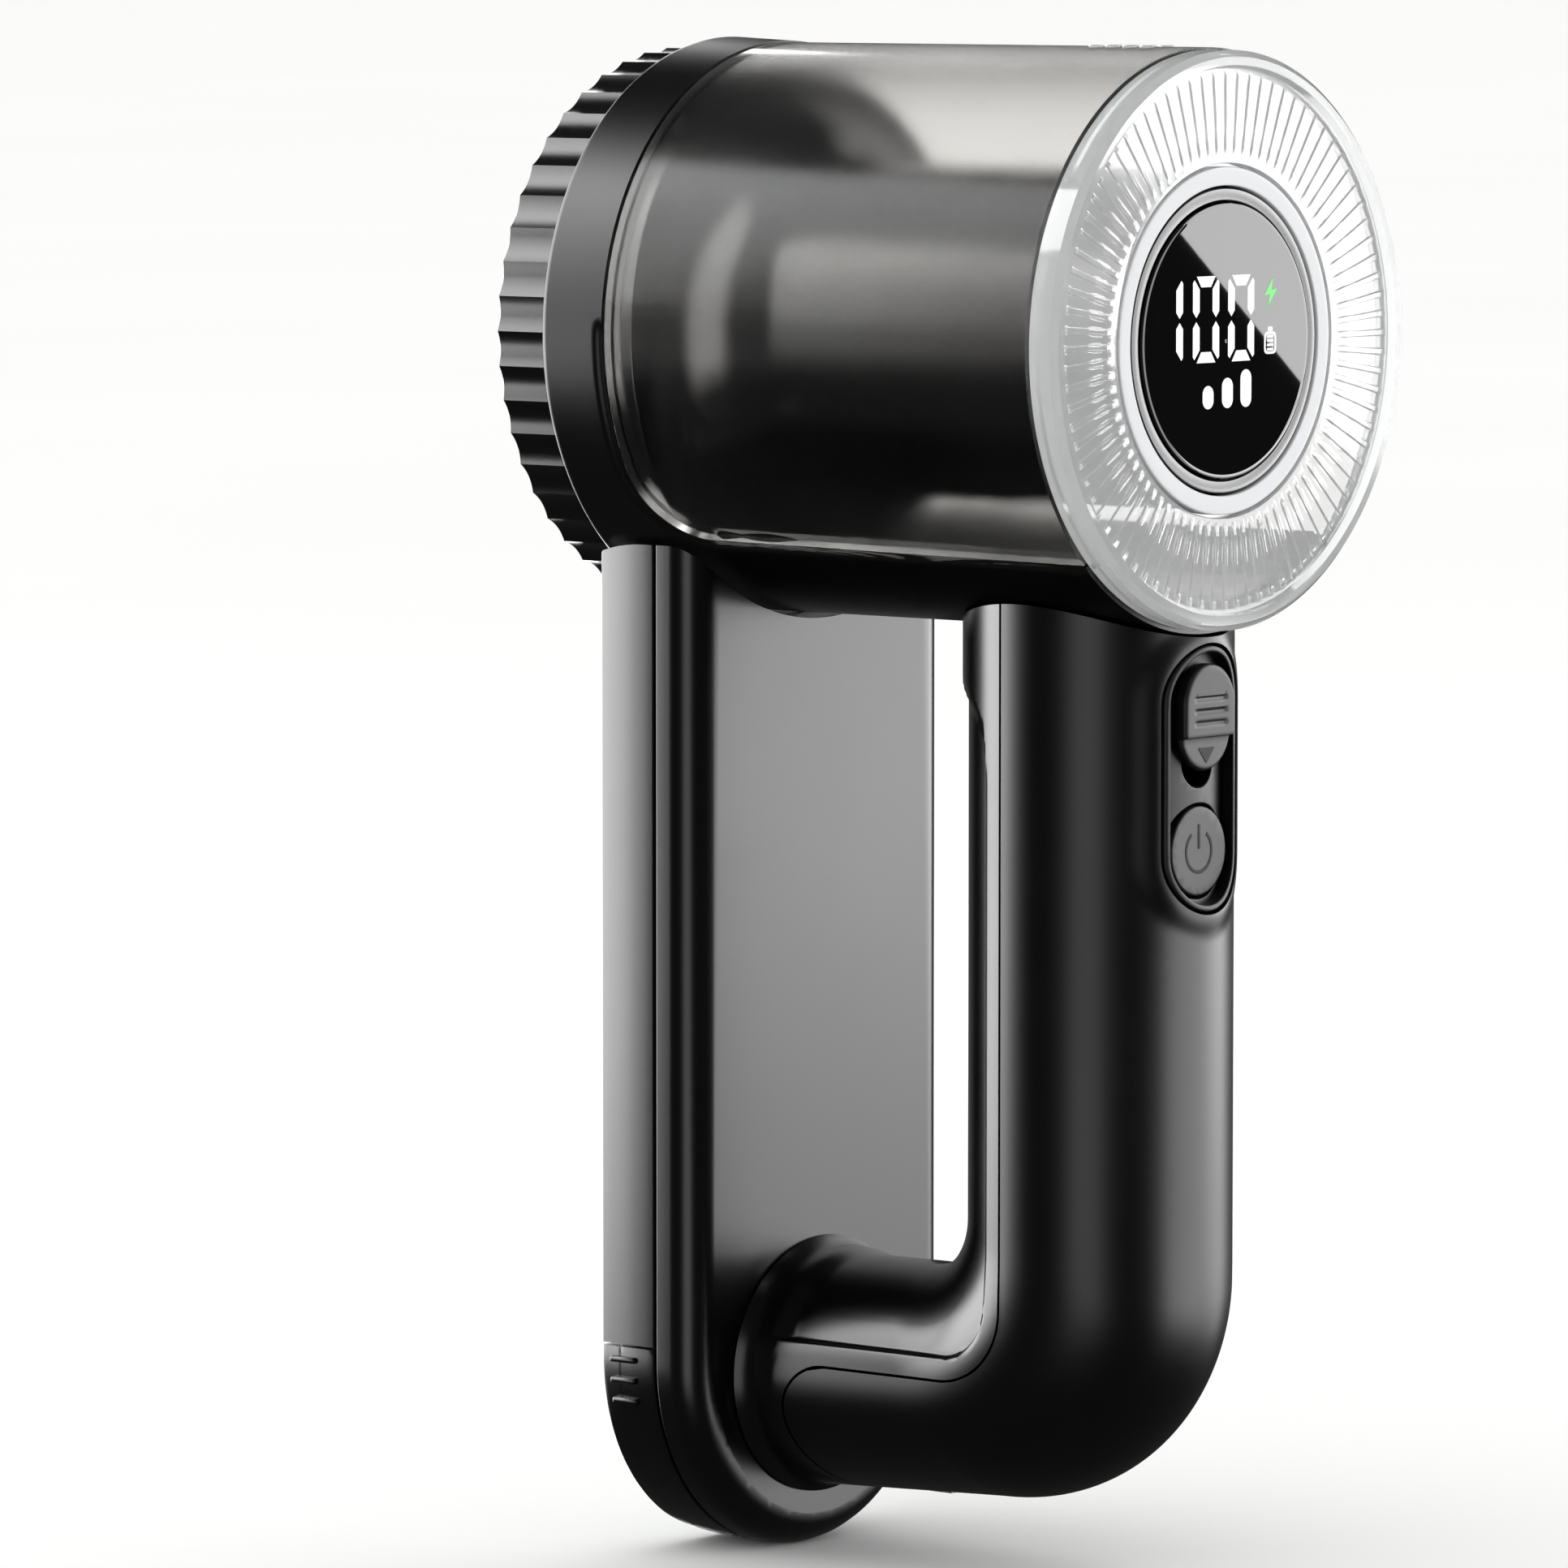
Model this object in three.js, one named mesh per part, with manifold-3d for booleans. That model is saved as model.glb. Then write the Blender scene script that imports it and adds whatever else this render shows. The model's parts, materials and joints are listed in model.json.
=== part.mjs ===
// Hand-held fabric shaver with a loop grip: a shaving head on a horizontal barrel, a lint bin round the
// motor, a battery grip behind and a flat paddle in front that carries a slide-off lint brush.
// Millimetres, +Z up. The origin is the centre of the foil's flat front face, and +X runs along the
// barrel from the foil to the display. The outside is symmetric about Y = 0.
import * as THREE from 'three';
import { mergeVertices } from 'three/addons/utils/BufferGeometryUtils.js';
import Module from 'manifold-3d';

const wasm = await Module();
wasm.setup();

// ---------- driving dimensions ----------
const gap = 0.35; // between neighbouring pieces
const barrelSides = 48; // facets round the barrel
const motorSides = 32; // facets round the motor and the display
const smallSides = 16; // facets round shafts, screws and buttons
const cutReach = 60; // long enough for a cutting shape to pass right through the object

const guard = {
  front: -1, rear: 7.4, radius: 34.5, bore: 31, mouth: 29.6, lip: 0.7,
  scallops: 50, scallopDepth: 0.9, sleeveEnd: 11.4, sleeveRadius: 33.2,
};
const foil = {
  thickness: 0.4, radius: 30.6, faceRadius: 29.3, rimFront: 0.2,
  slotRings: [13, 21], slotLength: 5, slotWidth: 1.2,
};
const foilRing = { front: 0.75, rear: 3, radius: 30.6, bore: 29 };
const cutter = {
  front: 6, rear: 7.6, radius: 27.5, blades: 6, bladeStart: 8, bladeEnd: 26.6, bladeFront: 0.8,
  bladeThickness: 0.5, bladeOffset: 2.6, clipHeight: 2.6, clipThickness: 1.2, clipInset: 3, hubRadius: 5.6,
  hubFront: 3.6, recessHalf: 2.5, recessDepth: 1, socketRadius: 2.3, socketFront: 6.4,
  windowInner: 20.4, windowOuter: 25.4, windowArc: 0.4,
};
const driveHubSize = { front: 6.8, step: 8, rear: 12.4, neckRadius: 1.95, radius: 4.4 };
const collar = { front: 7.8, rear: 17.3, frontRadius: 35.9, rearRadius: 35.5, bore: 33.6 };
const bulkhead = {
  front: 13.4, rear: 15.2, bore: 5.4, windows: 6, windowInner: 22, windowOuter: 30.5, windowArc: 0.36,
};
const saddle = {
  rear: 83.1, radius: 35.5, bore: 33.6, seamHeight: -25.6, seamDrop: 0.9, fillet: 8.7,
  neckRadius: 10.5, neckBore: 8.5, neckEnd: -41,
};
const bin = {
  front: 17.65, rear: 83, radius: 35.3, bore: 33.1, floorFront: 24, floorRadius: 33.25, floorBore: 31.6,
  ventRadius: 0.7, ventStart: 67, ventPitch: 2.6, ventRowSpacing: 2.2, vents: 4,
};
const lens = {
  front: 83.35, rear: 87.2, radius: 35, rimBore: 33, bore: 21.4, webFront: 84, webRear: 86, chamfer: 0.8,
};
const cowl = {
  front: 17.7, rear: 83.4, mouthEnd: 20.6, mouthRadius: 32.8, flareEnd: 33, radius: 20.5, wall: 1.6,
  windowOuter: 30.6, windowInner: 24, windowArc: 0.3,
};
const motor = {
  front: 22.4, rear: 58.4, radius: 13.9, bossFront: 19.4, bossRadius: 5, endbellRear: 61.2,
  shaftRadius: 1.15, shaftFront: 6.9, shaftRear: 63, bearingRadius: 3.85, bearingLength: 2, bearingBore: 1.22,
  shaftHole: 2.1, screwSpread: 8, screwHead: 18.9, screwLength: 3.1,
};
const bracket = { front: 20.4, rear: 22, radius: 18.4, bore: 6 };
const display = {
  ringFront: 83.75, ringRear: 86, ringRadius: 21, ringBore: 18.7, bezelFront: 84.2, bezelRear: 85.8,
  bezelRadius: 18.4, bezelBore: 16.9, glassFront: 84.6, glassRear: 86.1, glassRadius: 16.65,
  boardFront: 80.4, boardRear: 82, boardRadius: 17.4,
};
const paddle = {
  front: 7.8, seam: 16.7, back: 23.2, halfWidth: 25, capSeam: -126, capCentre: -128,
  wall: 2.2, backRounding: 4, top: -20, headClearance: 36.25,
};
const pocket = {
  floor: 14.4, halfWidth: 21.9, archCentre: -64.9, railFront: 10.6, railRear: 12, railHeight: 0.9,
};
const brush = {
  front: 7.9, rear: 14.05, halfWidth: 21.45, capFront: 7.9, capRear: 16.65, rim: 1.5, padFloor: 11,
  padFront: 7.7, stemEnd: -130, grooveDepth: 1.1,
  ridges: 3, ridgeTop: -127.9, ridgePitch: 2.6, ridgeHeight: 0.5, ridgeWidth: 0.7,
  ridgeFront: 9.8, ridgeRear: 13.8,
};
const brushCatchSize = { y: 20, halfWidth: 2, bottom: -139, top: -136.8, front: 14.95, rear: 16.5, play: 0.4 };
const grip = {
  centre: 66.8, halfWidth: 16.6, front: 50.2, back: 83.4, top: -27, outerRadius: 28, outerCentre: 55.4,
  outerCentreHeight: -115.6, innerRadius: 8, innerCentreHeight: -107, armEnd: 23.55, armDrop: 1.4,
  wall: 2.4, armWall: 2.5, stations: 6, sides: 28,
};
const trim = {
  seam: 64.6, armSeam: -127.7, cornerRadius: 9.5, endCorner: 6.5, shellEnd: 30.2,
  foldLine: 62, foldTop: -52, foldCurve: [[61.3, -47.7], [59.4, -45], [53.5, -41.7]],
  recessTop: -40.8, fingerRecess: 0.6, bandWidth: 2.8, recessEnd: 27.5,
  foldCorner: [[52.5, -124.9], [57.5, -122.3], [60.8, -118.5]],
};
const plate = {
  top: -36.9, bottom: -69.3, halfWidth: 7, rimWidth: 0.8, rimRadius: 17.1, faceRadius: 15.4,
  backFace: 79.6, slotTop: -40.2, slotBottom: -54.3, slotHalfWidth: 3,
};
const latch = {
  top: -39.1, bottom: -52.2, halfWidth: 5.05, face: 84.1, base: 82.6, stemHalfWidth: 2.4, stemFront: 75.6,
  stemTop: -42.6, stemHeight: 6, lowerStep: 0.8, stepHeight: -48,
  hookFront: 78, hookHalfWidth: 1.6, hookTop: -36.2,
  ribs: 3, ribTop: -42.8, ribWidth: 0.8, ribPitch: 1.6, ribDepth: 0.5, ribHalfLength: 3,
  springTop: -49.1, springBottom: -59.1, springX: 77.5, springRadius: 1.5, springWire: 0.45, springTurns: 4,
};
const power = {
  height: -62, radius: 5.5, face: 82.25, base: 80.4, travel: 0.6,
  switchHalf: 2.4, switchDepth: 3, plungerRadius: 1.6,
};
const battery = { radius: 9.2, top: -50, bottom: -115, centre: 62.4, nubRadius: 2.8, nubHeight: 1 };
const board = { front: 75, rear: 76.4, halfWidth: 8, top: -59.5, bottom: -104 };
const usb = {
  x: 46, bottom: -143.6, depth: 7.4, halfWidth: 4.6, halfThickness: 1.7,
  socketDepth: 5.6, wall: 0.4, tongueHalf: 0.4,
};
const screw = { head: 2.2, headHeight: 1.1, shank: 1.1, hole: 1.5 };
const paddleScrew = { y: 9, above: 7, length: 6.4 };

// ---------- materials ----------
const surface = (color, roughness, metalness = 0) =>
  new THREE.MeshStandardMaterial({ color, roughness, metalness, flatShading: true });
const blackShell = surface(0x1b1b1c, 0.5);
const blackTrim = surface(0x222223, 0.42);
const blackInner = surface(0x101011, 0.3);
const greyPaddle = surface(0x5a5a5b, 0.4);
const smokyClear = surface(0x77736e, 0.08);
const clearPlastic = surface(0xe8ebec, 0.08);
const silverTrim = surface(0xc4c5c6, 0.3, 0.4);
const gloss = surface(0x060607, 0.05);
const whitePlastic = surface(0xe9eae8, 0.4);
const steel = surface(0xb9bbbd, 0.25, 1);
const zincSteel = surface(0x8f9193, 0.4, 1);
const greenBoard = surface(0x1f5a38, 0.55);
const cellWrap = surface(0x2f6fa8, 0.4);
const pileFabric = surface(0xe3e9e0, 0.95);

// ---------- solids ----------
function signedVolume(positions, indices) {
  const [a, b, c] = [new THREE.Vector3(), new THREE.Vector3(), new THREE.Vector3()];
  let sum = 0;
  for (let i = 0; i < indices.length; i += 3) {
    a.fromArray(positions, 3 * indices[i]);
    b.fromArray(positions, 3 * indices[i + 1]);
    c.fromArray(positions, 3 * indices[i + 2]);
    sum += a.dot(b.cross(c)) / 6;
  }
  return sum;
}

// A manifold of a closed three.js geometry: shared corners merged, empty faces dropped, faces outwards.
function asSolid(geometry) {
  for (const name of ['normal', 'uv']) geometry.deleteAttribute(name);
  const merged = mergeVertices(geometry);
  const positions = merged.attributes.position.array;
  const corners = merged.index.array;
  const kept = [];
  for (let i = 0; i < corners.length; i += 3) {
    const [a, b, c] = corners.slice(i, i + 3);
    if (a !== b && b !== c && c !== a) kept.push(a, b, c);
  }
  if (signedVolume(positions, kept) < 0) kept.reverse();
  return new wasm.Manifold(
    new wasm.Mesh({ numProp: 3, vertProperties: new Float32Array(positions), triVerts: new Uint32Array(kept) }),
  );
}

function asGeometry(solid) {
  const mesh = solid.getMesh();
  const geometry = new THREE.BufferGeometry();
  geometry.setAttribute('position', new THREE.BufferAttribute(new Float32Array(mesh.vertProperties), 3));
  geometry.setIndex(new THREE.BufferAttribute(new Uint32Array(mesh.triVerts), 1));
  geometry.computeVertexNormals();
  return geometry;
}

const joined = (first, ...others) => others.reduce((sum, solid) => sum.add(solid), first);
const cut = (first, ...others) => others.reduce((rest, solid) => rest.subtract(solid), first);

// A closed outline of [x, radius] points turned about the barrel axis.
function turned(outline, sides = barrelSides) {
  const points = [...outline, outline[0]].map(([x, radius]) => new THREE.Vector2(radius, x));
  return asSolid(new THREE.LatheGeometry(points, sides).rotateZ(-Math.PI / 2));
}

// A tube, or a disc when bore is 0, along the barrel axis.
const ring = (x0, x1, radius, bore = 0, sides = barrelSides) =>
  turned([[x0, bore], [x1, bore], [x1, radius], [x0, radius]], sides);

const axisX = new THREE.Vector3(1, 0, 0);
const axisY = new THREE.Vector3(0, 1, 0);
const axisZ = new THREE.Vector3(0, 0, 1);

function extruded(shape, depth, basis, offset, curveSegments) {
  const geometry = new THREE.ExtrudeGeometry(shape, { depth, bevelEnabled: false, curveSegments });
  return asSolid(geometry.applyMatrix4(basis).translate(offset.x, offset.y, offset.z));
}

// A shape drawn in Y and Z, from x0 to x1.
const alongX = (shape, x0, x1, curveSegments = 14) => {
  const basis = new THREE.Matrix4().makeBasis(axisY, axisZ, axisX);
  return extruded(shape, x1 - x0, basis, new THREE.Vector3(x0, 0, 0), curveSegments);
};

// A shape drawn in X and Z, centred on Y = 0.
const acrossY = (shape, halfDepth, curveSegments = 6) =>
  extruded(
    shape, 2 * halfDepth, new THREE.Matrix4().makeBasis(axisX, axisZ, axisY.clone().negate()),
    new THREE.Vector3(0, halfDepth, 0), curveSegments,
  );

function box(x0, x1, y0, y1, z0, z1) {
  const geometry = new THREE.BoxGeometry(x1 - x0, y1 - y0, z1 - z0);
  return asSolid(geometry.translate((x0 + x1) / 2, (y0 + y1) / 2, (z0 + z1) / 2));
}

// A box off to one side of Y = 0: side is 1 or -1, and inner and outer are its distances from the middle.
const sideBox = (x0, x1, side, inner, outer, z0, z1) =>
  box(x0, x1, Math.min(side * inner, side * outer), Math.max(side * inner, side * outer), z0, z1);

// An upright cylinder at (x, y) from z0 to z1.
function post(x, y, z0, z1, radius, sides = smallSides) {
  const geometry = new THREE.CylinderGeometry(radius, radius, z1 - z0, sides).rotateX(Math.PI / 2);
  return asSolid(geometry.translate(x, y, (z0 + z1) / 2));
}

// A cylinder parallel to the barrel at (y, z) from x0 to x1.
function rod(y, z, x0, x1, radius, sides = smallSides) {
  const geometry = new THREE.CylinderGeometry(radius, radius, x1 - x0, sides).rotateZ(Math.PI / 2);
  return asSolid(geometry.translate((x0 + x1) / 2, y, z));
}

// An upright slot outline with round ends, in Y and Z.
function capsule(halfWidth, bottom, top) {
  const shape = new THREE.Shape();
  shape.absarc(0, top - halfWidth, halfWidth, 0, Math.PI, false);
  shape.absarc(0, bottom + halfWidth, halfWidth, Math.PI, 2 * Math.PI, false);
  return shape;
}

const polygon = (points) => new THREE.Shape(points.map(([u, v]) => new THREE.Vector2(u, v)));

// ---------- the grip's loop ----------
// Each station is an ellipse between an outer and an inner point of the loop, shrunk by inset all round.
function loopStations() {
  const outer = [[grip.back, grip.top]];
  const inner = [[grip.front, grip.top]];
  const innerCentre = grip.front - grip.innerRadius;
  for (let i = 0; i <= grip.stations; i += 1) {
    const angle = (-Math.PI / 2) * (i / grip.stations);
    const [c, s] = [Math.cos(angle), Math.sin(angle)];
    outer.push([grip.outerCentre + grip.outerRadius * c, grip.outerCentreHeight + grip.outerRadius * s]);
    inner.push([innerCentre + grip.innerRadius * c, grip.innerCentreHeight + grip.innerRadius * s]);
  }
  const bottom = grip.outerCentreHeight - grip.outerRadius;
  outer.push([grip.armEnd, bottom - grip.armDrop]);
  inner.push([grip.armEnd, grip.innerCentreHeight - grip.innerRadius]);
  return outer.map((point, i) => ({ outer: point, inner: inner[i] }));
}

function loopSolid(inset, shortening) {
  const positions = [];
  const indices = [];
  const stations = loopStations();
  stations[stations.length - 1].outer[0] += shortening;
  stations[stations.length - 1].inner[0] += shortening;
  const sides = grip.sides;
  for (const { outer, inner } of stations) {
    const centre = [(outer[0] + inner[0]) / 2, (outer[1] + inner[1]) / 2];
    const half = Math.hypot(outer[0] - inner[0], outer[1] - inner[1]) / 2;
    const way = [(outer[0] - centre[0]) / half, (outer[1] - centre[1]) / half];
    for (let j = 0; j < sides; j += 1) {
      const angle = (2 * Math.PI * j) / sides;
      const reach = (half - inset) * Math.cos(angle);
      const y = (grip.halfWidth - inset) * Math.sin(angle);
      positions.push(centre[0] + way[0] * reach, y, centre[1] + way[1] * reach);
    }
  }
  for (let i = 0; i + 1 < stations.length; i += 1) {
    for (let j = 0; j < sides; j += 1) {
      const [a, b] = [i * sides + j, i * sides + ((j + 1) % sides)];
      indices.push(a, b, b + sides, a, b + sides, a + sides);
    }
  }
  const last = (stations.length - 1) * sides;
  for (let j = 1; j + 1 < sides; j += 1) indices.push(0, j + 1, j, last, last + j, last + j + 1);
  const geometry = new THREE.BufferGeometry();
  geometry.setAttribute('position', new THREE.Float32BufferAttribute(positions, 3));
  geometry.setIndex(indices);
  return asSolid(geometry);
}

// The outer shell's side outline in X and Z: behind the upright seam, round the corner and along the arm.
function shellRegion(offset) {
  const seam = trim.seam + offset;
  const armSeam = trim.armSeam - offset;
  const end = trim.shellEnd + offset;
  const corner = trim.cornerRadius + offset;
  const shape = new THREE.Shape();
  shape.moveTo(seam, 0);
  shape.lineTo(seam, armSeam + corner);
  shape.absarc(seam - corner, armSeam + corner, corner, 0, -Math.PI / 2, true);
  shape.absarc(end + trim.endCorner, armSeam - trim.endCorner, trim.endCorner, Math.PI / 2, Math.PI, false);
  shape.quadraticCurveTo(end, armSeam - 2 * trim.endCorner, end + trim.endCorner, grip.outerCentreHeight - 33);
  shape.lineTo(grip.back + 5, grip.outerCentreHeight - 33);
  shape.lineTo(grip.back + 5, 0);
  return acrossY(shape, cutReach / 2);
}

const headCut = (radius) => ring(-5, 100, radius, 0, 64);

// A window between two radii, spanning arc radians to each side.
function arcWindow(inner, outer, arc) {
  const shape = new THREE.Shape();
  shape.absarc(0, 0, outer, -arc, arc, false);
  shape.absarc(0, 0, inner, arc, -arc, true);
  return shape;
}

// ---------- shaving head ----------
function guardRing() {
  const outline = new THREE.Shape();
  const steps = 3 * guard.scallops;
  for (let i = 0; i < steps; i += 1) {
    const angle = (2 * Math.PI * i) / steps;
    const radius = guard.radius - [0, 0.9, 0.9][i % 3] * guard.scallopDepth;
    const [y, z] = [radius * Math.cos(angle), radius * Math.sin(angle)];
    if (i === 0) outline.moveTo(y, z);
    else outline.lineTo(y, z);
  }
  const knurled = alongX(outline, guard.front, guard.rear);
  const sleeve = ring(guard.rear - 1, guard.sleeveEnd, guard.sleeveRadius);
  const mouth = ring(guard.front - 1, guard.rear, guard.mouth);
  return cut(joined(knurled, sleeve), mouth, ring(guard.front + guard.lip, guard.sleeveEnd + 1, guard.bore));
}

function foilDisc() {
  const slots = [];
  for (const radius of foil.slotRings) {
    const count = Math.round((2 * Math.PI * radius) / (2.2 * foil.slotLength));
    for (let i = 0; i < count; i += 1) {
      const [inner, outer] = [radius - foil.slotWidth / 2, radius + foil.slotWidth / 2];
      const slot = box(-1, 1, inner, outer, -foil.slotLength / 2, foil.slotLength / 2);
      slots.push(slot.rotate([(360 * i) / count, 0, 0]));
    }
  }
  const disc = ring(foil.rimFront, foil.thickness, foil.radius);
  return cut(joined(disc, ring(0, foil.thickness, foil.faceRadius)), ...slots);
}

function cutterDisc() {
  const windows = [];
  const clips = [];
  for (let i = 0; i < cutter.blades; i += 1) {
    const turn = (360 * i) / cutter.blades;
    const windowShape = arcWindow(cutter.windowInner, cutter.windowOuter, cutter.windowArc);
    windows.push(alongX(windowShape, cutter.front - 1, cutter.rear + 1, 3).rotate([turn + 30, 0, 0]));
    const clipSide = cutter.bladeOffset + cutter.bladeThickness / 2 + gap;
    const clip = box(
      cutter.front - cutter.clipHeight, cutter.front + 0.5, cutter.bladeStart + cutter.clipInset,
      cutter.bladeEnd - cutter.clipInset, clipSide, clipSide + cutter.clipThickness,
    );
    clips.push(clip.rotate([turn, 0, 0]));
  }
  const half = cutter.recessHalf;
  const hub = ring(cutter.hubFront, cutter.rear, cutter.hubRadius, 0, smallSides);
  const recess = box(cutter.hubFront - 1, cutter.hubFront + cutter.recessDepth, -half, half, -half, half);
  const socket = ring(cutter.socketFront, cutter.rear + 1, cutter.socketRadius, 0, smallSides);
  return cut(joined(ring(cutter.front, cutter.rear, cutter.radius), hub, ...clips), recess, socket, ...windows);
}

const cutterBlade = () =>
  box(
    cutter.bladeFront, cutter.front - gap, cutter.bladeStart, cutter.bladeEnd,
    cutter.bladeOffset - cutter.bladeThickness / 2, cutter.bladeOffset + cutter.bladeThickness / 2,
  );

function driveHub() {
  const { front, step, rear, neckRadius, radius } = driveHubSize;
  const body = joined(ring(step, rear, radius, 0, smallSides), ring(front, step, neckRadius, 0, smallSides));
  return cut(body, ring(front - 1, rear + 1, motor.shaftRadius + gap, 0, smallSides));
}

// ---------- head housing ----------
// The bin's cut-out seen from the side: it stays above the seam and behind the collar, with a round corner.
function binRegion(offset) {
  const front = collar.rear + offset;
  const radius = saddle.fillet - offset;
  const centre = [collar.rear + saddle.fillet, saddle.seamHeight + saddle.fillet];
  const shape = new THREE.Shape();
  shape.moveTo(front, cutReach);
  shape.lineTo(front, centre[1]);
  shape.absarc(centre[0], centre[1], radius, Math.PI, 1.5 * Math.PI, false);
  shape.lineTo(saddle.rear + 3, saddle.seamHeight - saddle.seamDrop + offset);
  shape.lineTo(saddle.rear + 3, cutReach);
  return acrossY(shape, cutReach);
}

function headHousing() {
  const ringBody = turned([
    [collar.front, collar.bore], [collar.rear, collar.bore], [collar.rear, collar.rearRadius],
    [collar.front + 0.5, collar.frontRadius], [collar.front, collar.frontRadius - 0.5],
  ]);
  const saddleBody = cut(ring(collar.rear - 1, saddle.rear, saddle.radius, saddle.bore), binRegion(0));
  const windows = [];
  for (let i = 0; i < bulkhead.windows; i += 1) {
    const shape = arcWindow(bulkhead.windowInner, bulkhead.windowOuter, bulkhead.windowArc);
    const turn = (360 * (i + 0.5)) / bulkhead.windows;
    windows.push(alongX(shape, bulkhead.front - 1, bulkhead.rear + 1, 3).rotate([turn, 0, 0]));
  }
  const disc = cut(ring(bulkhead.front, bulkhead.rear, collar.bore + 0.5, bulkhead.bore), ...windows);
  const neck = cut(
    post(grip.centre, 0, saddle.neckEnd, 1 - saddle.radius, saddle.neckRadius),
    post(grip.centre, 0, saddle.neckEnd - 1, -0.5 - saddle.radius, saddle.neckBore),
  );
  return joined(ringBody, saddleBody, disc, neck);
}

// The quarter-ellipse trumpet that closes the front of the bin and runs into the motor's tube.
function motorCowl() {
  const steps = 4;
  const flare = (depth) => {
    const points = [];
    for (let i = 0; i <= steps; i += 1) {
      const angle = (Math.PI / 2) * (i / steps);
      points.push([
        cowl.flareEnd - (cowl.flareEnd - cowl.mouthEnd) * Math.cos(angle),
        cowl.mouthRadius - (cowl.mouthRadius - cowl.radius) * Math.sin(angle) - depth,
      ]);
    }
    return points;
  };
  const outside = [[cowl.front, cowl.mouthRadius], [cowl.mouthEnd - 1, cowl.mouthRadius], ...flare(0)];
  const inside = [[cowl.front, cowl.mouthRadius - cowl.wall], ...flare(cowl.wall)];
  const rearEdge = [[cowl.rear, cowl.radius], [cowl.rear, cowl.radius - cowl.wall]];
  const body = turned([...outside, ...rearEdge, ...inside.reverse()]);
  const shape = arcWindow(cowl.windowInner, cowl.windowOuter, cowl.windowArc);
  const windows = [45, 135, 225, 315].map((turn) =>
    alongX(shape, cowl.front + 1, cowl.flareEnd, 2).rotate([turn, 0, 0]),
  );
  return cut(body, ...windows);
}

// ---------- lint bin ----------
function binShell() {
  const upper = cut(ring(bin.front, bin.rear, bin.radius, bin.bore), cut(
    box(bin.front - 1, bin.rear + 1, -40, 40, -40, 40), binRegion(gap),
  ));
  const floor = cut(
    ring(bin.floorFront, bin.rear, bin.floorRadius, bin.floorBore),
    box(bin.floorFront - 1, bin.rear + 1, -40, 40, saddle.seamHeight + 3, 40),
  );
  const vents = [];
  for (let row = 0; row < 2; row += 1) {
    for (let i = 0; i < bin.vents; i += 1) {
      const [x, y] = [bin.ventStart + (i + row / 2) * bin.ventPitch, (row - 0.5) * bin.ventRowSpacing];
      vents.push(post(x, y, bin.bore - 3, bin.radius + 3, bin.ventRadius, 8));
    }
  }
  return cut(joined(upper, floor), ...vents);
}

const binLens = () =>
  turned([
    [lens.front, lens.rimBore], [lens.front, lens.radius], [lens.rear - lens.chamfer, lens.radius],
    [lens.rear, lens.radius - lens.chamfer], [lens.rear, lens.rimBore], [lens.webRear, lens.rimBore],
    [lens.webRear, lens.bore], [lens.webFront, lens.bore], [lens.webFront, lens.rimBore],
  ]);

// ---------- motor and display ----------
function motorCan() {
  const can = ring(motor.front, motor.rear, motor.radius, 0, motorSides);
  const boss = ring(motor.bossFront, motor.front + 1, motor.bossRadius, 0, smallSides);
  const seatRear = motor.bossFront + motor.bearingLength + gap;
  const seat = ring(motor.bossFront - 1, seatRear, motor.bearingRadius + gap, 0, smallSides);
  const hole = ring(motor.bossFront - 1, motor.rear + 1, motor.shaftHole, 0, smallSides);
  return cut(joined(can, boss), seat, hole);
}

function motorEndbell() {
  const cap = ring(motor.rear + gap, motor.endbellRear, motor.radius, 0, motorSides);
  return cut(cap, ring(motor.rear, motor.endbellRear + 1, motor.shaftHole, 0, smallSides));
}

function frontBearing() {
  const rear = motor.bossFront + motor.bearingLength;
  return ring(motor.bossFront, rear, motor.bearingRadius, motor.bearingBore, smallSides);
}

function motorBracket() {
  const plateBody = ring(bracket.front, bracket.rear, bracket.radius, bracket.bore, motorSides);
  const holes = [-1, 1].map((side) =>
    rod(side * motor.screwSpread, 0, bracket.front - 1, bracket.rear + 1, screw.hole),
  );
  return cut(plateBody, ...holes);
}

function headedScrew(y, z, headX, length) {
  const head = rod(y, z, headX, headX + screw.headHeight, screw.head, 12);
  return joined(head, rod(y, z, headX + screw.headHeight - 0.1, headX + length, screw.shank, 8));
}

// ---------- paddle ----------
function paddleOutline(halfWidth, bottomCentre) {
  const shape = new THREE.Shape();
  shape.moveTo(halfWidth, paddle.top);
  shape.lineTo(-halfWidth, paddle.top);
  shape.absarc(0, bottomCentre, halfWidth, Math.PI, 2 * Math.PI, false);
  return shape;
}

function frontFrame() {
  const body = cut(
    alongX(paddleOutline(paddle.halfWidth, paddle.capCentre), paddle.front, paddle.seam),
    headCut(paddle.headClearance),
    box(0, 30, -30, 30, -160, paddle.capSeam),
  );
  const arch = new THREE.Shape();
  arch.absarc(0, pocket.archCentre, pocket.halfWidth, 0, Math.PI, false);
  arch.lineTo(-pocket.halfWidth, -160);
  arch.lineTo(pocket.halfWidth, -160);
  const rails = [-1, 1].map((side) => sideBox(
    pocket.railFront, pocket.railRear, side, pocket.halfWidth - pocket.railHeight, pocket.halfWidth + 0.5,
    paddle.capSeam, pocket.archCentre,
  ));
  return joined(cut(body, alongX(arch, 0, pocket.floor)), ...rails);
}

const armTop = grip.innerCentreHeight - grip.innerRadius;
const armCentre = (armTop + grip.outerCentreHeight - grip.outerRadius) / 2;
const screwSpots = [[-1, 1], [1, 1], [-1, -1], [1, -1]].map(([across, up]) => [
  across * paddleScrew.y, armCentre + up * paddleScrew.above,
]);

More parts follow.
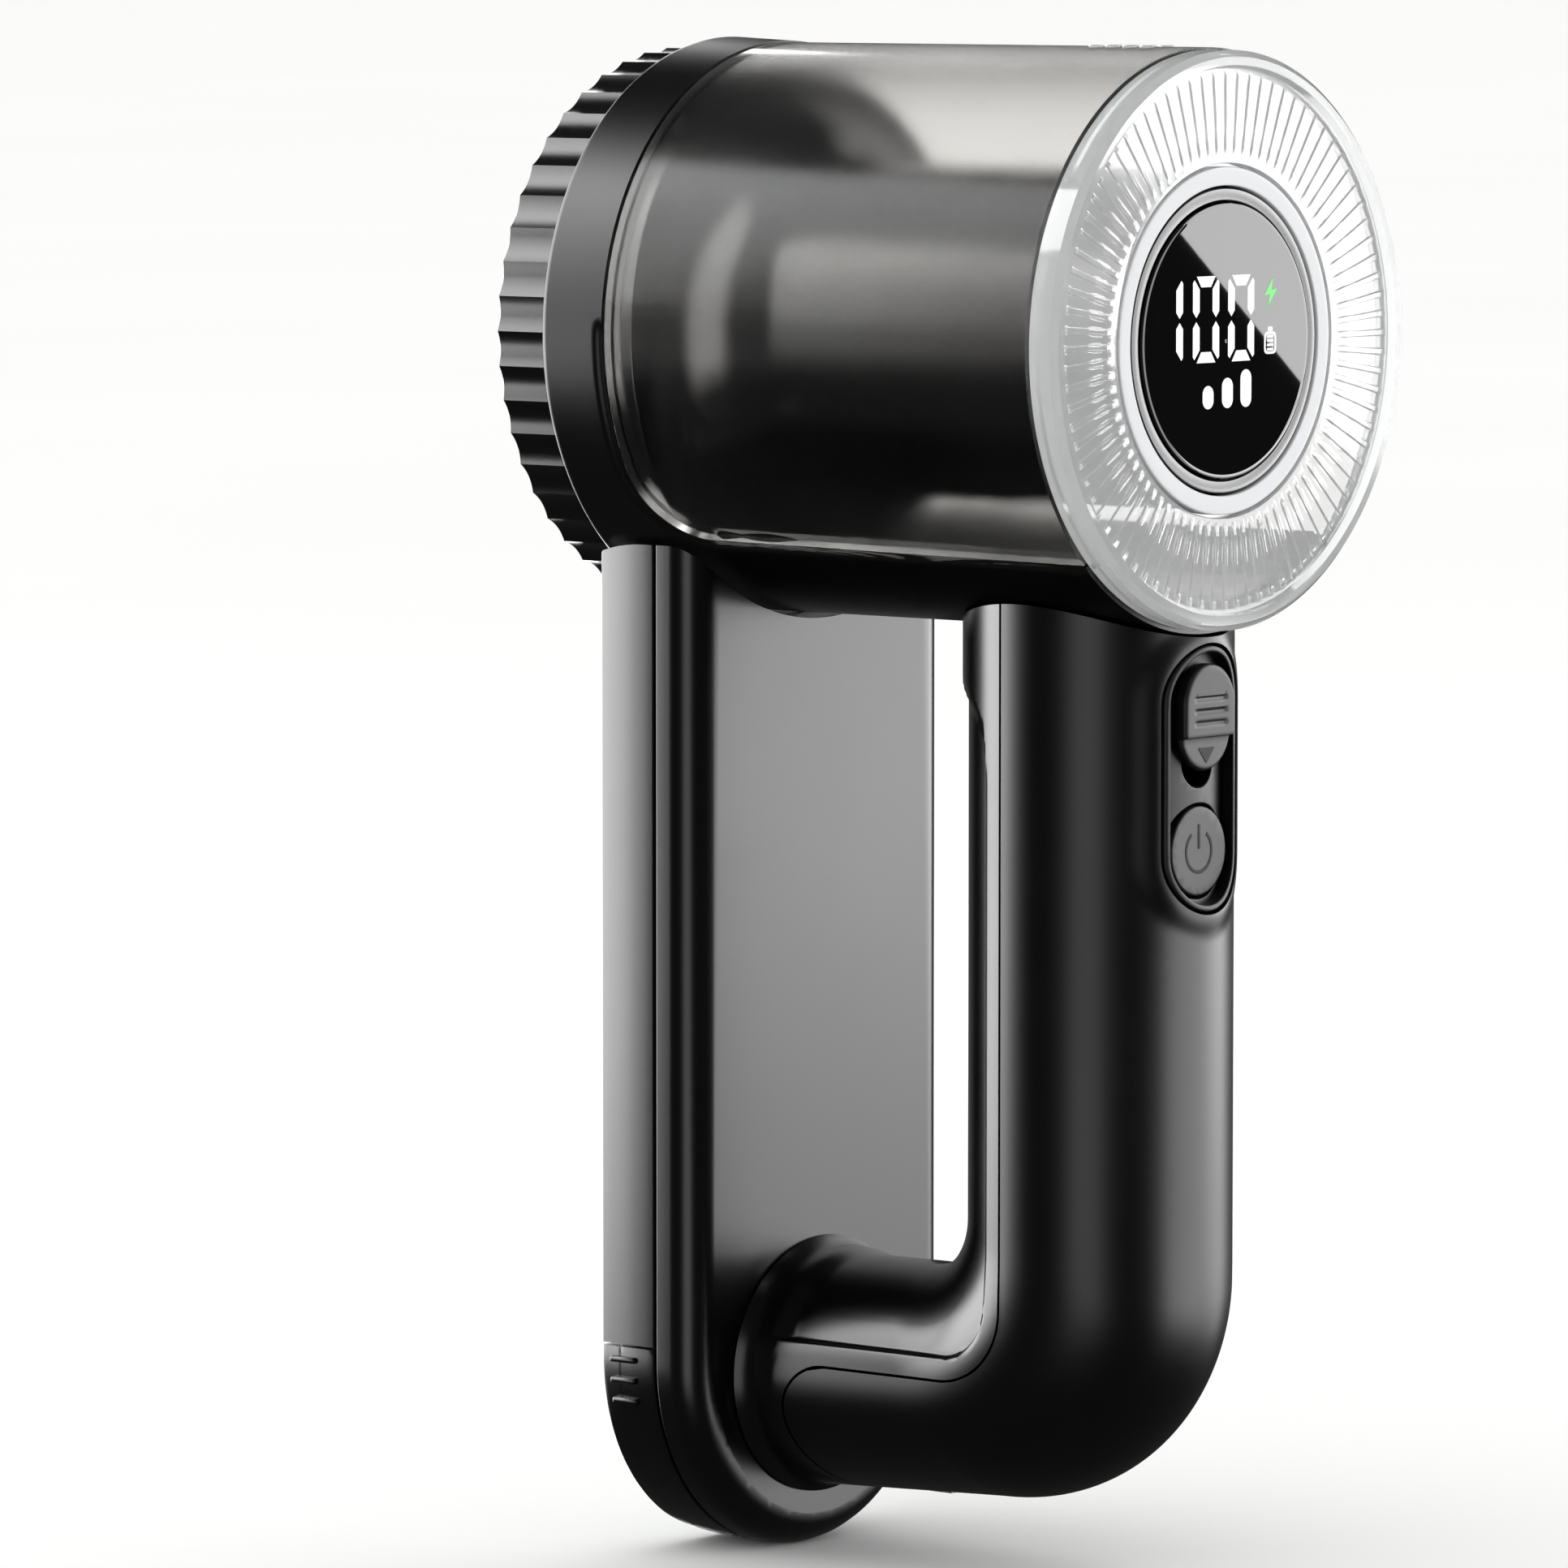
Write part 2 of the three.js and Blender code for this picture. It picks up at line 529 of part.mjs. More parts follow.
function paddleRearShell() {
  const outline = paddleOutline(paddle.halfWidth - paddle.backRounding, paddle.capCentre);
  const rounded = new THREE.ExtrudeGeometry(outline, {
    depth: 20, bevelEnabled: true, bevelSize: paddle.backRounding, bevelThickness: paddle.backRounding,
    bevelSegments: 2, curveSegments: 16,
  });
  rounded.applyMatrix4(new THREE.Matrix4().makeBasis(axisY, axisZ, axisX));
  const solid = asSolid(rounded.translate(paddle.back - 20 - paddle.backRounding, 0, 0));
  const cavity = cut(
    alongX(paddleOutline(paddle.halfWidth - paddle.wall, paddle.capCentre), 0, paddle.back - paddle.wall),
    headCut(paddle.headClearance + paddle.wall),
  );
  const body = cut(solid, box(-5, paddle.seam + gap, -40, 40, -170, 0), headCut(paddle.headClearance), cavity);
  return cut(body, ...screwSpots.map(([y, z]) => rod(y, z, 15, 30, screw.hole, 12)));
}

// ---------- lint brush ----------
function brushOutline(halfWidth) {
  const shape = new THREE.Shape();
  shape.absarc(0, pocket.archCentre, halfWidth, 0, Math.PI, false);
  shape.lineTo(-halfWidth, brush.stemEnd);
  shape.lineTo(halfWidth, brush.stemEnd);
  return shape;
}

// The brush's wide round end below a straight top edge, which may cut into the half circle.
function capOutline(halfWidth, top) {
  const angle = Math.asin(Math.min(0, top - paddle.capCentre) / halfWidth);
  const shape = new THREE.Shape();
  shape.moveTo(halfWidth * Math.cos(angle), top);
  shape.lineTo(-halfWidth * Math.cos(angle), top);
  shape.absarc(0, paddle.capCentre, halfWidth, Math.PI - angle, 2 * Math.PI + angle, false);
  return shape;
}

function brushCarrier() {
  const stem = alongX(brushOutline(brush.halfWidth), brush.front, brush.rear);
  const capBody = alongX(capOutline(paddle.halfWidth, paddle.capSeam - gap), brush.capFront, brush.capRear);
  const recess = joined(
    alongX(brushOutline(brush.halfWidth - brush.rim), 0, brush.padFloor),
    alongX(capOutline(paddle.halfWidth - brush.rim, paddle.capSeam - gap - brush.rim), 0, brush.padFloor),
  );
  const grooves = [-1, 1].map((side) => sideBox(
    pocket.railFront - gap, pocket.railRear + gap, side,
    brush.halfWidth - brush.grooveDepth, brush.halfWidth + 3,
    paddle.capSeam - gap, pocket.archCentre + brush.halfWidth / 2,
  ));
  const ridges = [];
  for (let i = 0; i < brush.ridges; i += 1) {
    const z = brush.ridgeTop - i * brush.ridgePitch;
    const reach = Math.sqrt(paddle.halfWidth ** 2 - (z - paddle.capCentre) ** 2);
    for (const side of [-1, 1]) {
      ridges.push(sideBox(
        brush.ridgeFront, brush.ridgeRear, side, reach - 0.6, reach + brush.ridgeHeight,
        z - brush.ridgeWidth / 2, z + brush.ridgeWidth / 2,
      ));
    }
  }
  const seats = [-1, 1].map((side) => brushCatch(side, brushCatchSize.play));
  return cut(joined(stem, capBody, ...ridges), recess, ...grooves, ...seats);
}

function brushPad() {
  const rim = brush.rim + gap;
  const rear = brush.padFloor - gap;
  const round = capOutline(paddle.halfWidth - rim, paddle.capSeam - gap - rim);
  return joined(
    alongX(brushOutline(brush.halfWidth - rim), brush.padFront, rear), alongX(round, brush.padFront, rear),
  );
}

// A snap catch that holds the brush's cap against the rear shell; play is the room left round it in its seat.
function brushCatch(side, play = 0) {
  const { y, halfWidth, bottom, top, front, rear } = brushCatchSize;
  const [inner, outer] = [y - halfWidth - play, y + halfWidth + play];
  return sideBox(front - play, play ? paddle.seam : rear, side, inner, outer, bottom - play, top + play);
}

// ---------- grip ----------
const gripInside = () => loopSolid(grip.wall, grip.armWall);
const plateHole = () =>
  alongX(capsule(plate.halfWidth + gap, plate.bottom - gap, plate.top + gap), plate.backFace - 4, 90);

function gripOuterShell() {
  const [across, along] = [usb.halfThickness + gap, usb.halfWidth + gap];
  const [low, high] = [usb.bottom - 6, usb.bottom + usb.depth + 1];
  const usbHole = box(usb.x - across, usb.x + across, -along, along, low, high);
  return cut(
    loopSolid(0, 0).intersect(shellRegion(0)), gripInside(), headCut(saddle.radius + gap), plateHole(), usbHole,
  );
}

// The finger side lies a little deeper than the band beside the seam and than the grip's top end.
function fingerRecess() {
  const armFold = trim.armSeam + trim.bandWidth;
  const band = polygon([
    ...[...trim.foldCurve].reverse(), [trim.foldLine, trim.foldTop], [trim.foldLine, trim.armSeam],
    [0, trim.armSeam], [0, trim.recessTop], [grip.front, trim.recessTop],
  ]);
  const corner = polygon([
    [trim.foldLine, grip.outerCentreHeight + 3.6], [trim.foldLine, trim.armSeam - 12], [0, trim.armSeam - 12],
    [0, armFold], ...trim.foldCorner,
  ]);
  const paddleEnd = box(0, trim.recessEnd, -cutReach, cutReach, -3 * cutReach, trim.recessTop + 1);
  return cut(
    acrossY(band, cutReach / 2), acrossY(corner, cutReach / 2), loopSolid(trim.fingerRecess, 0), paddleEnd,
  );
}

function innerTrim() {
  const body = cut(loopSolid(0, 0), shellRegion(-gap), gripInside(), headCut(saddle.radius + gap));
  return cut(body, fingerRecess(), ...screwSpots.map(([y, z]) => rod(y, z, 22, 30, screw.hole, 12)));
}

function buttonPlate() {
  const tube = (radius) => post(grip.centre, 0, plate.bottom - 2, plate.top + 2, radius, barrelSides);
  const [back, through] = [plate.backFace, plate.backFace - 10];
  const outline = (inset) => capsule(plate.halfWidth - inset, plate.bottom + inset, plate.top - inset);
  const outer = alongX(outline(0), back, 90).intersect(tube(plate.rimRadius));
  const recess = cut(alongX(outline(plate.rimWidth), back, 90), tube(plate.faceRadius));
  const slot = alongX(capsule(plate.slotHalfWidth, plate.slotBottom, plate.slotTop), through, 90);
  return cut(outer, recess, slot, rod(0, power.height, through, 90, power.radius + gap));
}

function latchSlider() {
  const { halfWidth, face, base, ribHalfLength } = latch;
  const capBody = alongX(capsule(halfWidth, latch.bottom, latch.top), base + 0.1, face);
  const stepFace = face - latch.lowerStep;
  const lowered = box(stepFace, face + 5, -cutReach, cutReach, latch.bottom - 5, latch.stepHeight);
  const ribs = [];
  for (let i = 0; i < latch.ribs; i += 1) {
    const top = latch.ribTop - i * latch.ribPitch;
    ribs.push(box(face - latch.ribDepth, face + 5, -ribHalfLength, ribHalfLength, top - latch.ribWidth, top));
  }
  const stem = box(
    latch.stemFront, base + 0.5, -latch.stemHalfWidth, latch.stemHalfWidth,
    latch.stemTop - latch.stemHeight, latch.stemTop,
  );
  return joined(cut(capBody, lowered, ...ribs), stem);
}

// The hook stands on the slider's stem inside the grip and reaches up to the bin's rear lip.
function latchHook() {
  const half = latch.hookHalfWidth;
  const rear = plate.backFace - gap;
  const foot = box(latch.hookFront, rear - 0.5, -half, half, latch.stemTop + gap, latch.hookTop - 1);
  return joined(foot, box(latch.hookFront, rear, -half, half, latch.hookTop - 2, latch.hookTop));
}

function latchSpring() {
  const height = latch.springTop - latch.springBottom;
  class Helix extends THREE.Curve {
    getPoint(t, target = new THREE.Vector3()) {
      const angle = 2 * Math.PI * latch.springTurns * t;
      const [u, v] = [Math.cos(angle), Math.sin(angle)].map((part) => latch.springRadius * part);
      return target.set(u, v, latch.springBottom + height * t);
    }
  }
  const wire = new THREE.Shape().absarc(0, 0, latch.springWire, 0, 2 * Math.PI, false);
  const geometry = new THREE.ExtrudeGeometry(wire, {
    extrudePath: new Helix(), steps: 8 * latch.springTurns, curveSegments: 3, bevelEnabled: false,
  });
  return asSolid(geometry.translate(latch.springX, 0, 0));
}

// ---------- inside the grip ----------
const batteryCell = () =>
  joined(
    post(battery.centre, 0, battery.bottom, battery.top, battery.radius, 36),
    post(battery.centre, 0, battery.top - 0.5, battery.top + battery.nubHeight, battery.nubRadius),
  );

function mainBoard() {
  const { front, rear, halfWidth, bottom, top } = board;
  return box(front, rear, -halfWidth, halfWidth, bottom, top);
}

function powerSwitch() {
  const { height, base, travel, switchHalf, switchDepth, plungerRadius } = power;
  const rear = board.rear + switchDepth;
  const body = box(board.rear + gap, rear, -switchHalf, switchHalf, height - switchHalf, height + switchHalf);
  return joined(body, rod(0, height, rear - 0.2, base - travel - 0.1, plungerRadius, 12));
}

// A steel shell with a tongue in its socket.
function usbPort() {
  const { x, bottom, depth, halfWidth, halfThickness, socketDepth, wall, tongueHalf } = usb;
  const socketHalf = halfThickness - wall;
  const reach = halfWidth - wall;
  const shell = box(x - halfThickness, x + halfThickness, -halfWidth, halfWidth, bottom, bottom + depth);
  const socket = (x0, x1, end) => box(x0, x1, -reach, reach, bottom - 1, bottom + end);
  return cut(
    shell, socket(x - socketHalf, x - tongueHalf, socketDepth),
    socket(x + tongueHalf, x + socketHalf, socketDepth), socket(x - socketHalf, x + socketHalf, 1),
  );
}

// ---------- assembly ----------
const shaver = new THREE.Group();

function addPiece(parent, name, solid, material) {
  const mesh = new THREE.Mesh(asGeometry(solid), material);
  mesh.name = name;
  parent.add(mesh);
}

const head = new THREE.Group();
addPiece(head, 'head_housing', headHousing(), blackShell);
addPiece(head, 'motor_cowl', motorCowl(), blackInner);
addPiece(head, 'motor_bracket', motorBracket(), zincSteel);
addPiece(head, 'motor_can', motorCan(), zincSteel);
addPiece(head, 'motor_endbell', motorEndbell(), whitePlastic);
addPiece(head, 'front_bearing', frontBearing(), steel);
[-1, 1].forEach((side, i) => {
  const solid = headedScrew(side * motor.screwSpread, 0, motor.screwHead, motor.screwLength);
  addPiece(head, `motor_screw_${i + 1}`, solid, steel);
});

const guardGroup = new THREE.Group();
addPiece(guardGroup, 'guard_ring', guardRing(), blackTrim);
addPiece(guardGroup, 'foil', foilDisc(), steel);
const foilClamp = ring(foilRing.front, foilRing.rear, foilRing.radius, foilRing.bore);
addPiece(guardGroup, 'foil_ring', foilClamp, blackInner);

const cutterGroup = new THREE.Group();
addPiece(cutterGroup, 'cutter_disc', cutterDisc(), whitePlastic);
addPiece(cutterGroup, 'drive_hub', driveHub(), blackInner);
const shaft = ring(motor.shaftFront, motor.shaftRear, motor.shaftRadius, 0, smallSides);
addPiece(cutterGroup, 'motor_shaft', shaft, steel);
for (let i = 0; i < cutter.blades; i += 1) {
  const spoke = new THREE.Group();
  spoke.rotation.x = (2 * Math.PI * i) / cutter.blades;
  addPiece(spoke, `cutter_blade_${i + 1}`, cutterBlade(), steel);
  cutterGroup.add(spoke);
}

const binGroup = new THREE.Group();
addPiece(binGroup, 'bin_shell', binShell(), smokyClear);
addPiece(binGroup, 'bin_lens', binLens(), clearPlastic);

const screen = new THREE.Group();
const screenParts = { ring: silverTrim, bezel: blackInner, glass: gloss, board: greenBoard };
for (const [name, material] of Object.entries(screenParts)) {
  const [front, rear, radius] = ['Front', 'Rear', 'Radius'].map((end) => display[name + end]);
  const bore = display[`${name}Bore`] ?? 0;
  addPiece(screen, `display_${name}`, ring(front, rear, radius, bore, motorSides), material);
}

const paddleGroup = new THREE.Group();
addPiece(paddleGroup, 'front_frame', frontFrame(), blackTrim);
addPiece(paddleGroup, 'paddle_rear_shell', paddleRearShell(), greyPaddle);
screwSpots.forEach(([y, z], i) => {
  const headX = paddle.back - paddle.wall - gap - screw.headHeight;
  addPiece(paddleGroup, `paddle_screw_${i + 1}`, headedScrew(y, z, headX, paddleScrew.length), steel);
});

const brushGroup = new THREE.Group();
addPiece(brushGroup, 'brush_carrier', brushCarrier(), blackTrim);
addPiece(brushGroup, 'brush_pad', brushPad(), pileFabric);
addPiece(brushGroup, 'brush_catch_left', brushCatch(1), blackInner);
addPiece(brushGroup, 'brush_catch_right', brushCatch(-1), blackInner);

const gripGroup = new THREE.Group();
addPiece(gripGroup, 'grip_outer_shell', gripOuterShell(), blackShell);
addPiece(gripGroup, 'inner_trim', innerTrim(), blackTrim);
addPiece(gripGroup, 'button_plate', buttonPlate(), blackTrim);
addPiece(gripGroup, 'latch_slider', latchSlider(), blackTrim);
addPiece(gripGroup, 'latch_hook', latchHook(), blackInner);
addPiece(gripGroup, 'latch_spring', latchSpring(), steel);
const powerButton = rod(0, power.height, power.base, power.face, power.radius, 36);
addPiece(gripGroup, 'power_button', powerButton, blackTrim);
addPiece(gripGroup, 'power_switch', powerSwitch(), blackInner);
addPiece(gripGroup, 'battery_cell', batteryCell(), cellWrap);
addPiece(gripGroup, 'main_board', mainBoard(), greenBoard);
addPiece(gripGroup, 'usb_port', usbPort(), steel);

shaver.add(head, guardGroup, cutterGroup, binGroup, screen, paddleGroup, brushGroup, gripGroup);

export default shaver;
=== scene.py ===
import json
import math

import bmesh
import bpy
import numpy as np
from mathutils import Matrix, Vector
from mathutils.geometry import delaunay_2d_cdt


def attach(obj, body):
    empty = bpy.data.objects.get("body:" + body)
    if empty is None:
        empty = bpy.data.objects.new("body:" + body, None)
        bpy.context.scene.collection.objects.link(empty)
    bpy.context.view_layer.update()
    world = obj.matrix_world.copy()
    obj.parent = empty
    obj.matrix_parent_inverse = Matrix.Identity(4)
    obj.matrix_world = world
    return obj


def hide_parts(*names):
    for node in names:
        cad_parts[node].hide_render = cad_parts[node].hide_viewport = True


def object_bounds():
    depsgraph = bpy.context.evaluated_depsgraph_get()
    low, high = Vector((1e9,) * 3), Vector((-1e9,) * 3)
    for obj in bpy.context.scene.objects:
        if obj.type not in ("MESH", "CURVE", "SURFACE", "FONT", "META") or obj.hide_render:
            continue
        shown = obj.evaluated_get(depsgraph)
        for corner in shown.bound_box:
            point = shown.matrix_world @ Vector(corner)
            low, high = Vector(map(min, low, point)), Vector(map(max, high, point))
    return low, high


# Lengths are in millimetres until a mesh is made. The barrel runs along X, and +Z is up.
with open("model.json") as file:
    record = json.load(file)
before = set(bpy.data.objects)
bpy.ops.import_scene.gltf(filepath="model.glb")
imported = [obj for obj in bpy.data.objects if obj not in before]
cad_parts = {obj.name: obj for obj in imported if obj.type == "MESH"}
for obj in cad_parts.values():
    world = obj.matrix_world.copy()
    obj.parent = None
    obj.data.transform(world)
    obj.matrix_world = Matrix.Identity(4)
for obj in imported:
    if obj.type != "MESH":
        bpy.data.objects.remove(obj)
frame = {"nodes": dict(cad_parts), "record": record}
cadLow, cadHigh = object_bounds()
gap = 0.35
rng = np.random.default_rng(11)


# ---------------------------------------------------------------- materials
def linear(hexColour):
    values = [int(hexColour[i:i + 2], 16) / 255 for i in (1, 3, 5)]
    return (*[v / 12.92 if v <= 0.04045 else ((v + 0.055) / 1.055) ** 2.4 for v in values], 1)


def addNode(tree, kind, settings=None, links=None):
    node = tree.nodes.new(kind)
    for key, value in (settings or {}).items():
        if isinstance(key, str) and key.islower() and hasattr(node, key):
            setattr(node, key, value)
        else:
            node.inputs[key].default_value = value
    for key, (source, output) in (links or {}).items():
        tree.links.new(source.outputs[output], node.inputs[key])
    return node


def newMaterial(name):
    material = bpy.data.materials.new(name)
    material.use_nodes = True
    tree = material.node_tree
    tree.nodes.clear()
    return material, tree


def finishMaterial(tree, shader):
    addNode(tree, "ShaderNodeOutputMaterial", links={"Surface": (shader, 0)})


# Noise whose features are about size millimetres across.
def noiseAt(tree, size, detail=2, stretch=(1, 1, 1)):
    coords = addNode(tree, "ShaderNodeTexCoord")
    mapping = addNode(tree, "ShaderNodeMapping", {"Scale": stretch}, {"Vector": (coords, "Object")})
    settings = {"Scale": 1000 / size, "Detail": detail}
    return addNode(tree, "ShaderNodeTexNoise", settings, {"Vector": (mapping, 0)})


def spread(tree, noise, low, high):
    settings = {"From Min": 0.3, "From Max": 0.7, "To Min": low, "To Max": high}
    return addNode(tree, "ShaderNodeMapRange", settings, {"Value": (noise, 0)})


def bumpFrom(tree, noise, depth):
    return addNode(tree, "ShaderNodeBump", {"Strength": 1, "Distance": depth / 1000}, {"Height": (noise, 0)})


# grain is the size of the surface's texture in millimetres, and depth how deep it is.
def solidFinish(name, colour, roughness, grain, depth, metallic=0, second=None, stretch=(1, 1, 1),
                extra=None):
    material, tree = newMaterial(name)
    fine = noiseAt(tree, grain, 2, stretch)
    broad = noiseAt(tree, 14, 3)
    rough = spread(tree, broad, roughness * 0.98, roughness * 1.03)
    colours = {"data_type": "RGBA", 6: linear(colour), 7: linear(second or colour)}
    tint = addNode(tree, "ShaderNodeMix", colours, {0: (broad, 0)})
    bump = bumpFrom(tree, fine, depth)
    settings = {"Metallic": metallic}
    if not metallic:
        settings["IOR"] = 1.5
    settings.update(extra or {})
    links = {"Base Color": (tint, 2), "Roughness": (rough, 0), "Normal": (bump, 0)}
    finishMaterial(tree, addNode(tree, "ShaderNodeBsdfPrincipled", settings, links))
    return material


def clearFinish(name, colour, roughness, ior, clarity, glare):
    material, tree = newMaterial(name)
    broad = noiseAt(tree, 20, 2)
    rough = spread(tree, broad, roughness * 0.85, roughness * 1.15)
    settings = {"Base Color": linear(colour), "Transmission Weight": clarity, "IOR": ior,
                "Specular Tint": (glare, glare, glare, 1)}
    finishMaterial(tree, addNode(tree, "ShaderNodeBsdfPrincipled", settings, {"Roughness": (rough, 0)}))
    return material


def litFinish(name, colour, strength):
    material, tree = newMaterial(name)
    broad = noiseAt(tree, 4, 1)
    level = spread(tree, broad, strength * 0.92, strength * 1.06)
    settings = {"Base Color": (0, 0, 0, 1), "Emission Color": linear(colour), "Roughness": 0.4}
    links = {"Emission Strength": (level, 0)}
    finishMaterial(tree, addNode(tree, "ShaderNodeBsdfPrincipled", settings, links))
    return material


finish = {
    # Satin moulded ABS: a soft broad sheen on deep black.
    "black_shell": solidFinish("satinBlackAbs", "#030303", 0.35, 0.3, 0.003, second="#050505"),
    # The same plastic from a smoother tool: a slightly tighter sheen.
    "black_trim": solidFinish("smoothBlackAbs", "#040404", 0.26, 0.3, 0.003, second="#060606"),
    "paddle_black": solidFinish("paddleBlackAbs", "#040404", 0.28, 0.35, 0.003, second="#060606"),
    # Polished ABS: mirror-like dark walls inside the bin.
    "black_inner": solidFinish("glossBlackAbs", "#030303", 0.25, 0.6, 0.002, second="#050505",
                               extra={"IOR": 1.75}),
    # Smoke-tinted styrene: greys what is behind it, blurs it a little and has hardly any glare.
    "smoky_clear": clearFinish("smokyStyrene", "#e6e5e3", 0.13, 1.5, 1, 0.1),
    # Clear acrylic with a slight milky haze.
    "clear_plastic": clearFinish("clearAcrylic", "#fbfcfc", 0.05, 1.49, 0.72, 1),
    # Silver-grey moulded ring with a faint flake.
    "silver_trim": solidFinish("silverAbs", "#b6b7b9", 0.35, 0.2, 0.003, second="#bebfc1"),
    # Black display glass: a hard mirror.
    "display_gloss": solidFinish("displayGlass", "#020203", 0.01, 9, 0.00005, second="#030304"),
    "white_plastic": solidFinish("whiteAcetal", "#e4e5e2", 0.38, 0.4, 0.003, second="#ebebe8"),
    # Electroformed and rolled steel: bright, with drawn-out rolling marks.
    "bright_steel": solidFinish("nickelFoil", "#c9c8c4", 0.2, 0.5, 0.002, 1, "#d4d3cf", (1, 8, 1)),
    "blade_steel": solidFinish("stainlessBlade", "#b8b9ba", 0.24, 0.4, 0.002, 1, "#c2c3c4", (1, 1, 9)),
    "zinc_steel": solidFinish("zincSteel", "#8d9093", 0.38, 0.8, 0.004, 1, "#9a9ca0"),
    "green_board": solidFinish("solderMask", "#1d5636", 0.4, 1.2, 0.01, second="#17492d"),
    "cell_wrap": solidFinish("shrinkWrap", "#2b659c", 0.34, 2.5, 0.02, second="#2f6fa8"),
    # Short cut pile: matt, with a soft rim of light.
    "pile_fabric": solidFinish("cutPile", "#dde3da", 0.95, 0.35, 0.12, second="#e9eee7",
                               extra={"Sheen Weight": 0.35, "Sheen Roughness": 0.5}),
}
# The push buttons are moulded dull. Their marks are grooves, drawn as thin pieces in dead black that stand just
# proud of the face: the darker black is painted shade of the grooves.
buttonFinish = solidFinish("dullBlackAbs", "#040404", 0.5, 0.3, 0.004, second="#060606")
markPaintedShade = solidFinish("engravedMarkPaintedShade", "#020202", 0.7, 0.3, 0.004, second="#030303")
signWhite = litFinish("signWhite", "#f4f6f7", 1.0)
signGreen = litFinish("signGreen", "#2fe03a", 1.0)

slotOf = {node: name for name, nodes in {
    m["slot"]: m.get("nodes", []) for m in frame["record"]["materials"]
}.items() for node in nodes}
for node, o in frame["nodes"].items():
    o.data.materials.clear()
    o.data.materials.append(finish[slotOf.get(node, "black_inner")])
print("materials ready")


# ---------------------------------------------------------------- mesh tools
def gridFaces(rows, columns, start=0):
    i, j = np.meshgrid(np.arange(rows - 1), np.arange(columns - 1), indexing="ij")
    a = (start + i * columns + j).ravel()
    return np.stack([a, a + 1, a + columns + 1, a + columns], 1)


def gridPatch(points):
    rows, columns = points.shape[:2]
    return points.reshape(-1, 3), gridFaces(rows, columns)


# Joins corners that lie in the same place, so that seams and poles are closed.
def welded(patches):
    starts = np.cumsum([0] + [len(v) for v, _ in patches])
    verts = np.concatenate([v for v, _ in patches])
    places = np.round(verts * 5000).astype(np.int64)
    _, first, index = np.unique(places, axis=0, return_index=True, return_inverse=True)
    index = index.ravel()
    faces = []
    for (_, patchFaces), start in zip(patches, starts):
        for face in patchFaces:
            ring = list(dict.fromkeys(int(index[start + corner]) for corner in face))
            if len(ring) > 2:
                faces.append(ring)
    return verts[first], faces


def makePiece(name, patches, material, body, replaces=(), thickness=0, bevel=0, sharp=35):
    verts, faces = welded(patches)
    mesh = bpy.data.meshes.new(name)
    mesh.from_pydata(verts / 1000, [], faces)
    edit = bmesh.new()
    edit.from_mesh(mesh)
    bmesh.ops.recalc_face_normals(edit, faces=edit.faces)
    middle = Vector(verts.mean(0) / 1000)
    volume = sum((f.calc_center_median() - middle).dot(f.normal) * f.calc_area() for f in edit.faces)
    if volume < 0:
        bmesh.ops.reverse_faces(edit, faces=edit.faces)
    edit.to_mesh(mesh)
    edit.free()
    mesh.shade_smooth()
    mesh.materials.append(material)
    piece = bpy.data.objects.new(name, mesh)
    bpy.context.scene.collection.objects.link(piece)
    if thickness:
        shell = piece.modifiers.new("thickness", "SOLIDIFY")
        shell.thickness = thickness / 1000
        shell.offset = -1
        shell.use_even_offset = False
    if bevel:
        edge = piece.modifiers.new("edges", "BEVEL")
        edge.width = bevel / 1000
        edge.segments = 2
        edge.limit_method = "ANGLE"
        edge.angle_limit = math.radians(38)
        edge.harden_normals = True
    else:
        mesh.set_sharp_from_angle(angle=math.radians(sharp))
        flat = piece.modifiers.new("flatFaces", "WEIGHTED_NORMAL")
        flat.keep_sharp = True
    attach(piece, body)
    if replaces:
        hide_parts(*replaces)
    return piece


# Replaces each corner of a closed outline by a curve that leaves and meets its sides smoothly.
def roundedLoop(points, radius, steps=4):
    points = np.array(points, float)
    out = []
    for i, p in enumerate(points):
        before, after = points[i - 1] - p, points[(i + 1) % len(points)] - p
        lb, la = np.linalg.norm(before), np.linalg.norm(after)
        cosine = np.dot(before, after) / max(lb * la, 1e-9)
        if cosine < -0.97 or radius == 0:
            out.append(p)
            continue
        reach = min(radius, 0.45 * lb, 0.45 * la)
        a, b = p + before / lb * reach, p + after / la * reach
        for t in np.linspace(0, 1, steps):
            out.append((1 - t) ** 2 * a + 2 * t * (1 - t) * p + t ** 2 * b)
    return np.array(out)


# A closed outline of (x, radius) turned about the barrel axis.
def turned(outline, edge=0.2, sides=256):
    loop = roundedLoop(outline, edge)
    loop = np.vstack([loop, loop[:1]])
    angles = np.linspace(0, 2 * np.pi, sides + 1)
    x = np.broadcast_to(loop[:, 0], (sides + 1, len(loop)))
    y = np.cos(angles)[:, None] * loop[:, 1]
    z = np.sin(angles)[:, None] * loop[:, 1]
    grid = np.stack([x, y, z], 2)
    grid[-1] = grid[0]
    return gridPatch(grid)


def tube(x0, x1, radius, bore=0, edge=0.2, sides=192):
    return turned([(x0, bore), (x0, radius), (x1, radius), (x1, bore)], edge, sides)


# Moves a closed outline inwards by a distance, each corner along the bisector of its sides.
def inward(loop, distance):
    ahead = np.roll(loop, -1, 0) - loop
    ahead /= np.maximum(np.linalg.norm(ahead, axis=1), 1e-9)[:, None]
    normal = np.stack([-ahead[:, 1], ahead[:, 0]], 1)
    area = np.sum(loop[:, 0] * np.roll(loop[:, 1], -1) - loop[:, 1] * np.roll(loop[:, 0], -1))
    normal *= np.sign(area)
    both = normal + np.roll(normal, 1, 0)
    both /= np.maximum(1 + np.sum(normal * np.roll(normal, 1, 0), 1), 0.3)[:, None]
    return loop + both * distance


def solidSide(loop):
    return lambda inset: inward(loop, inset)


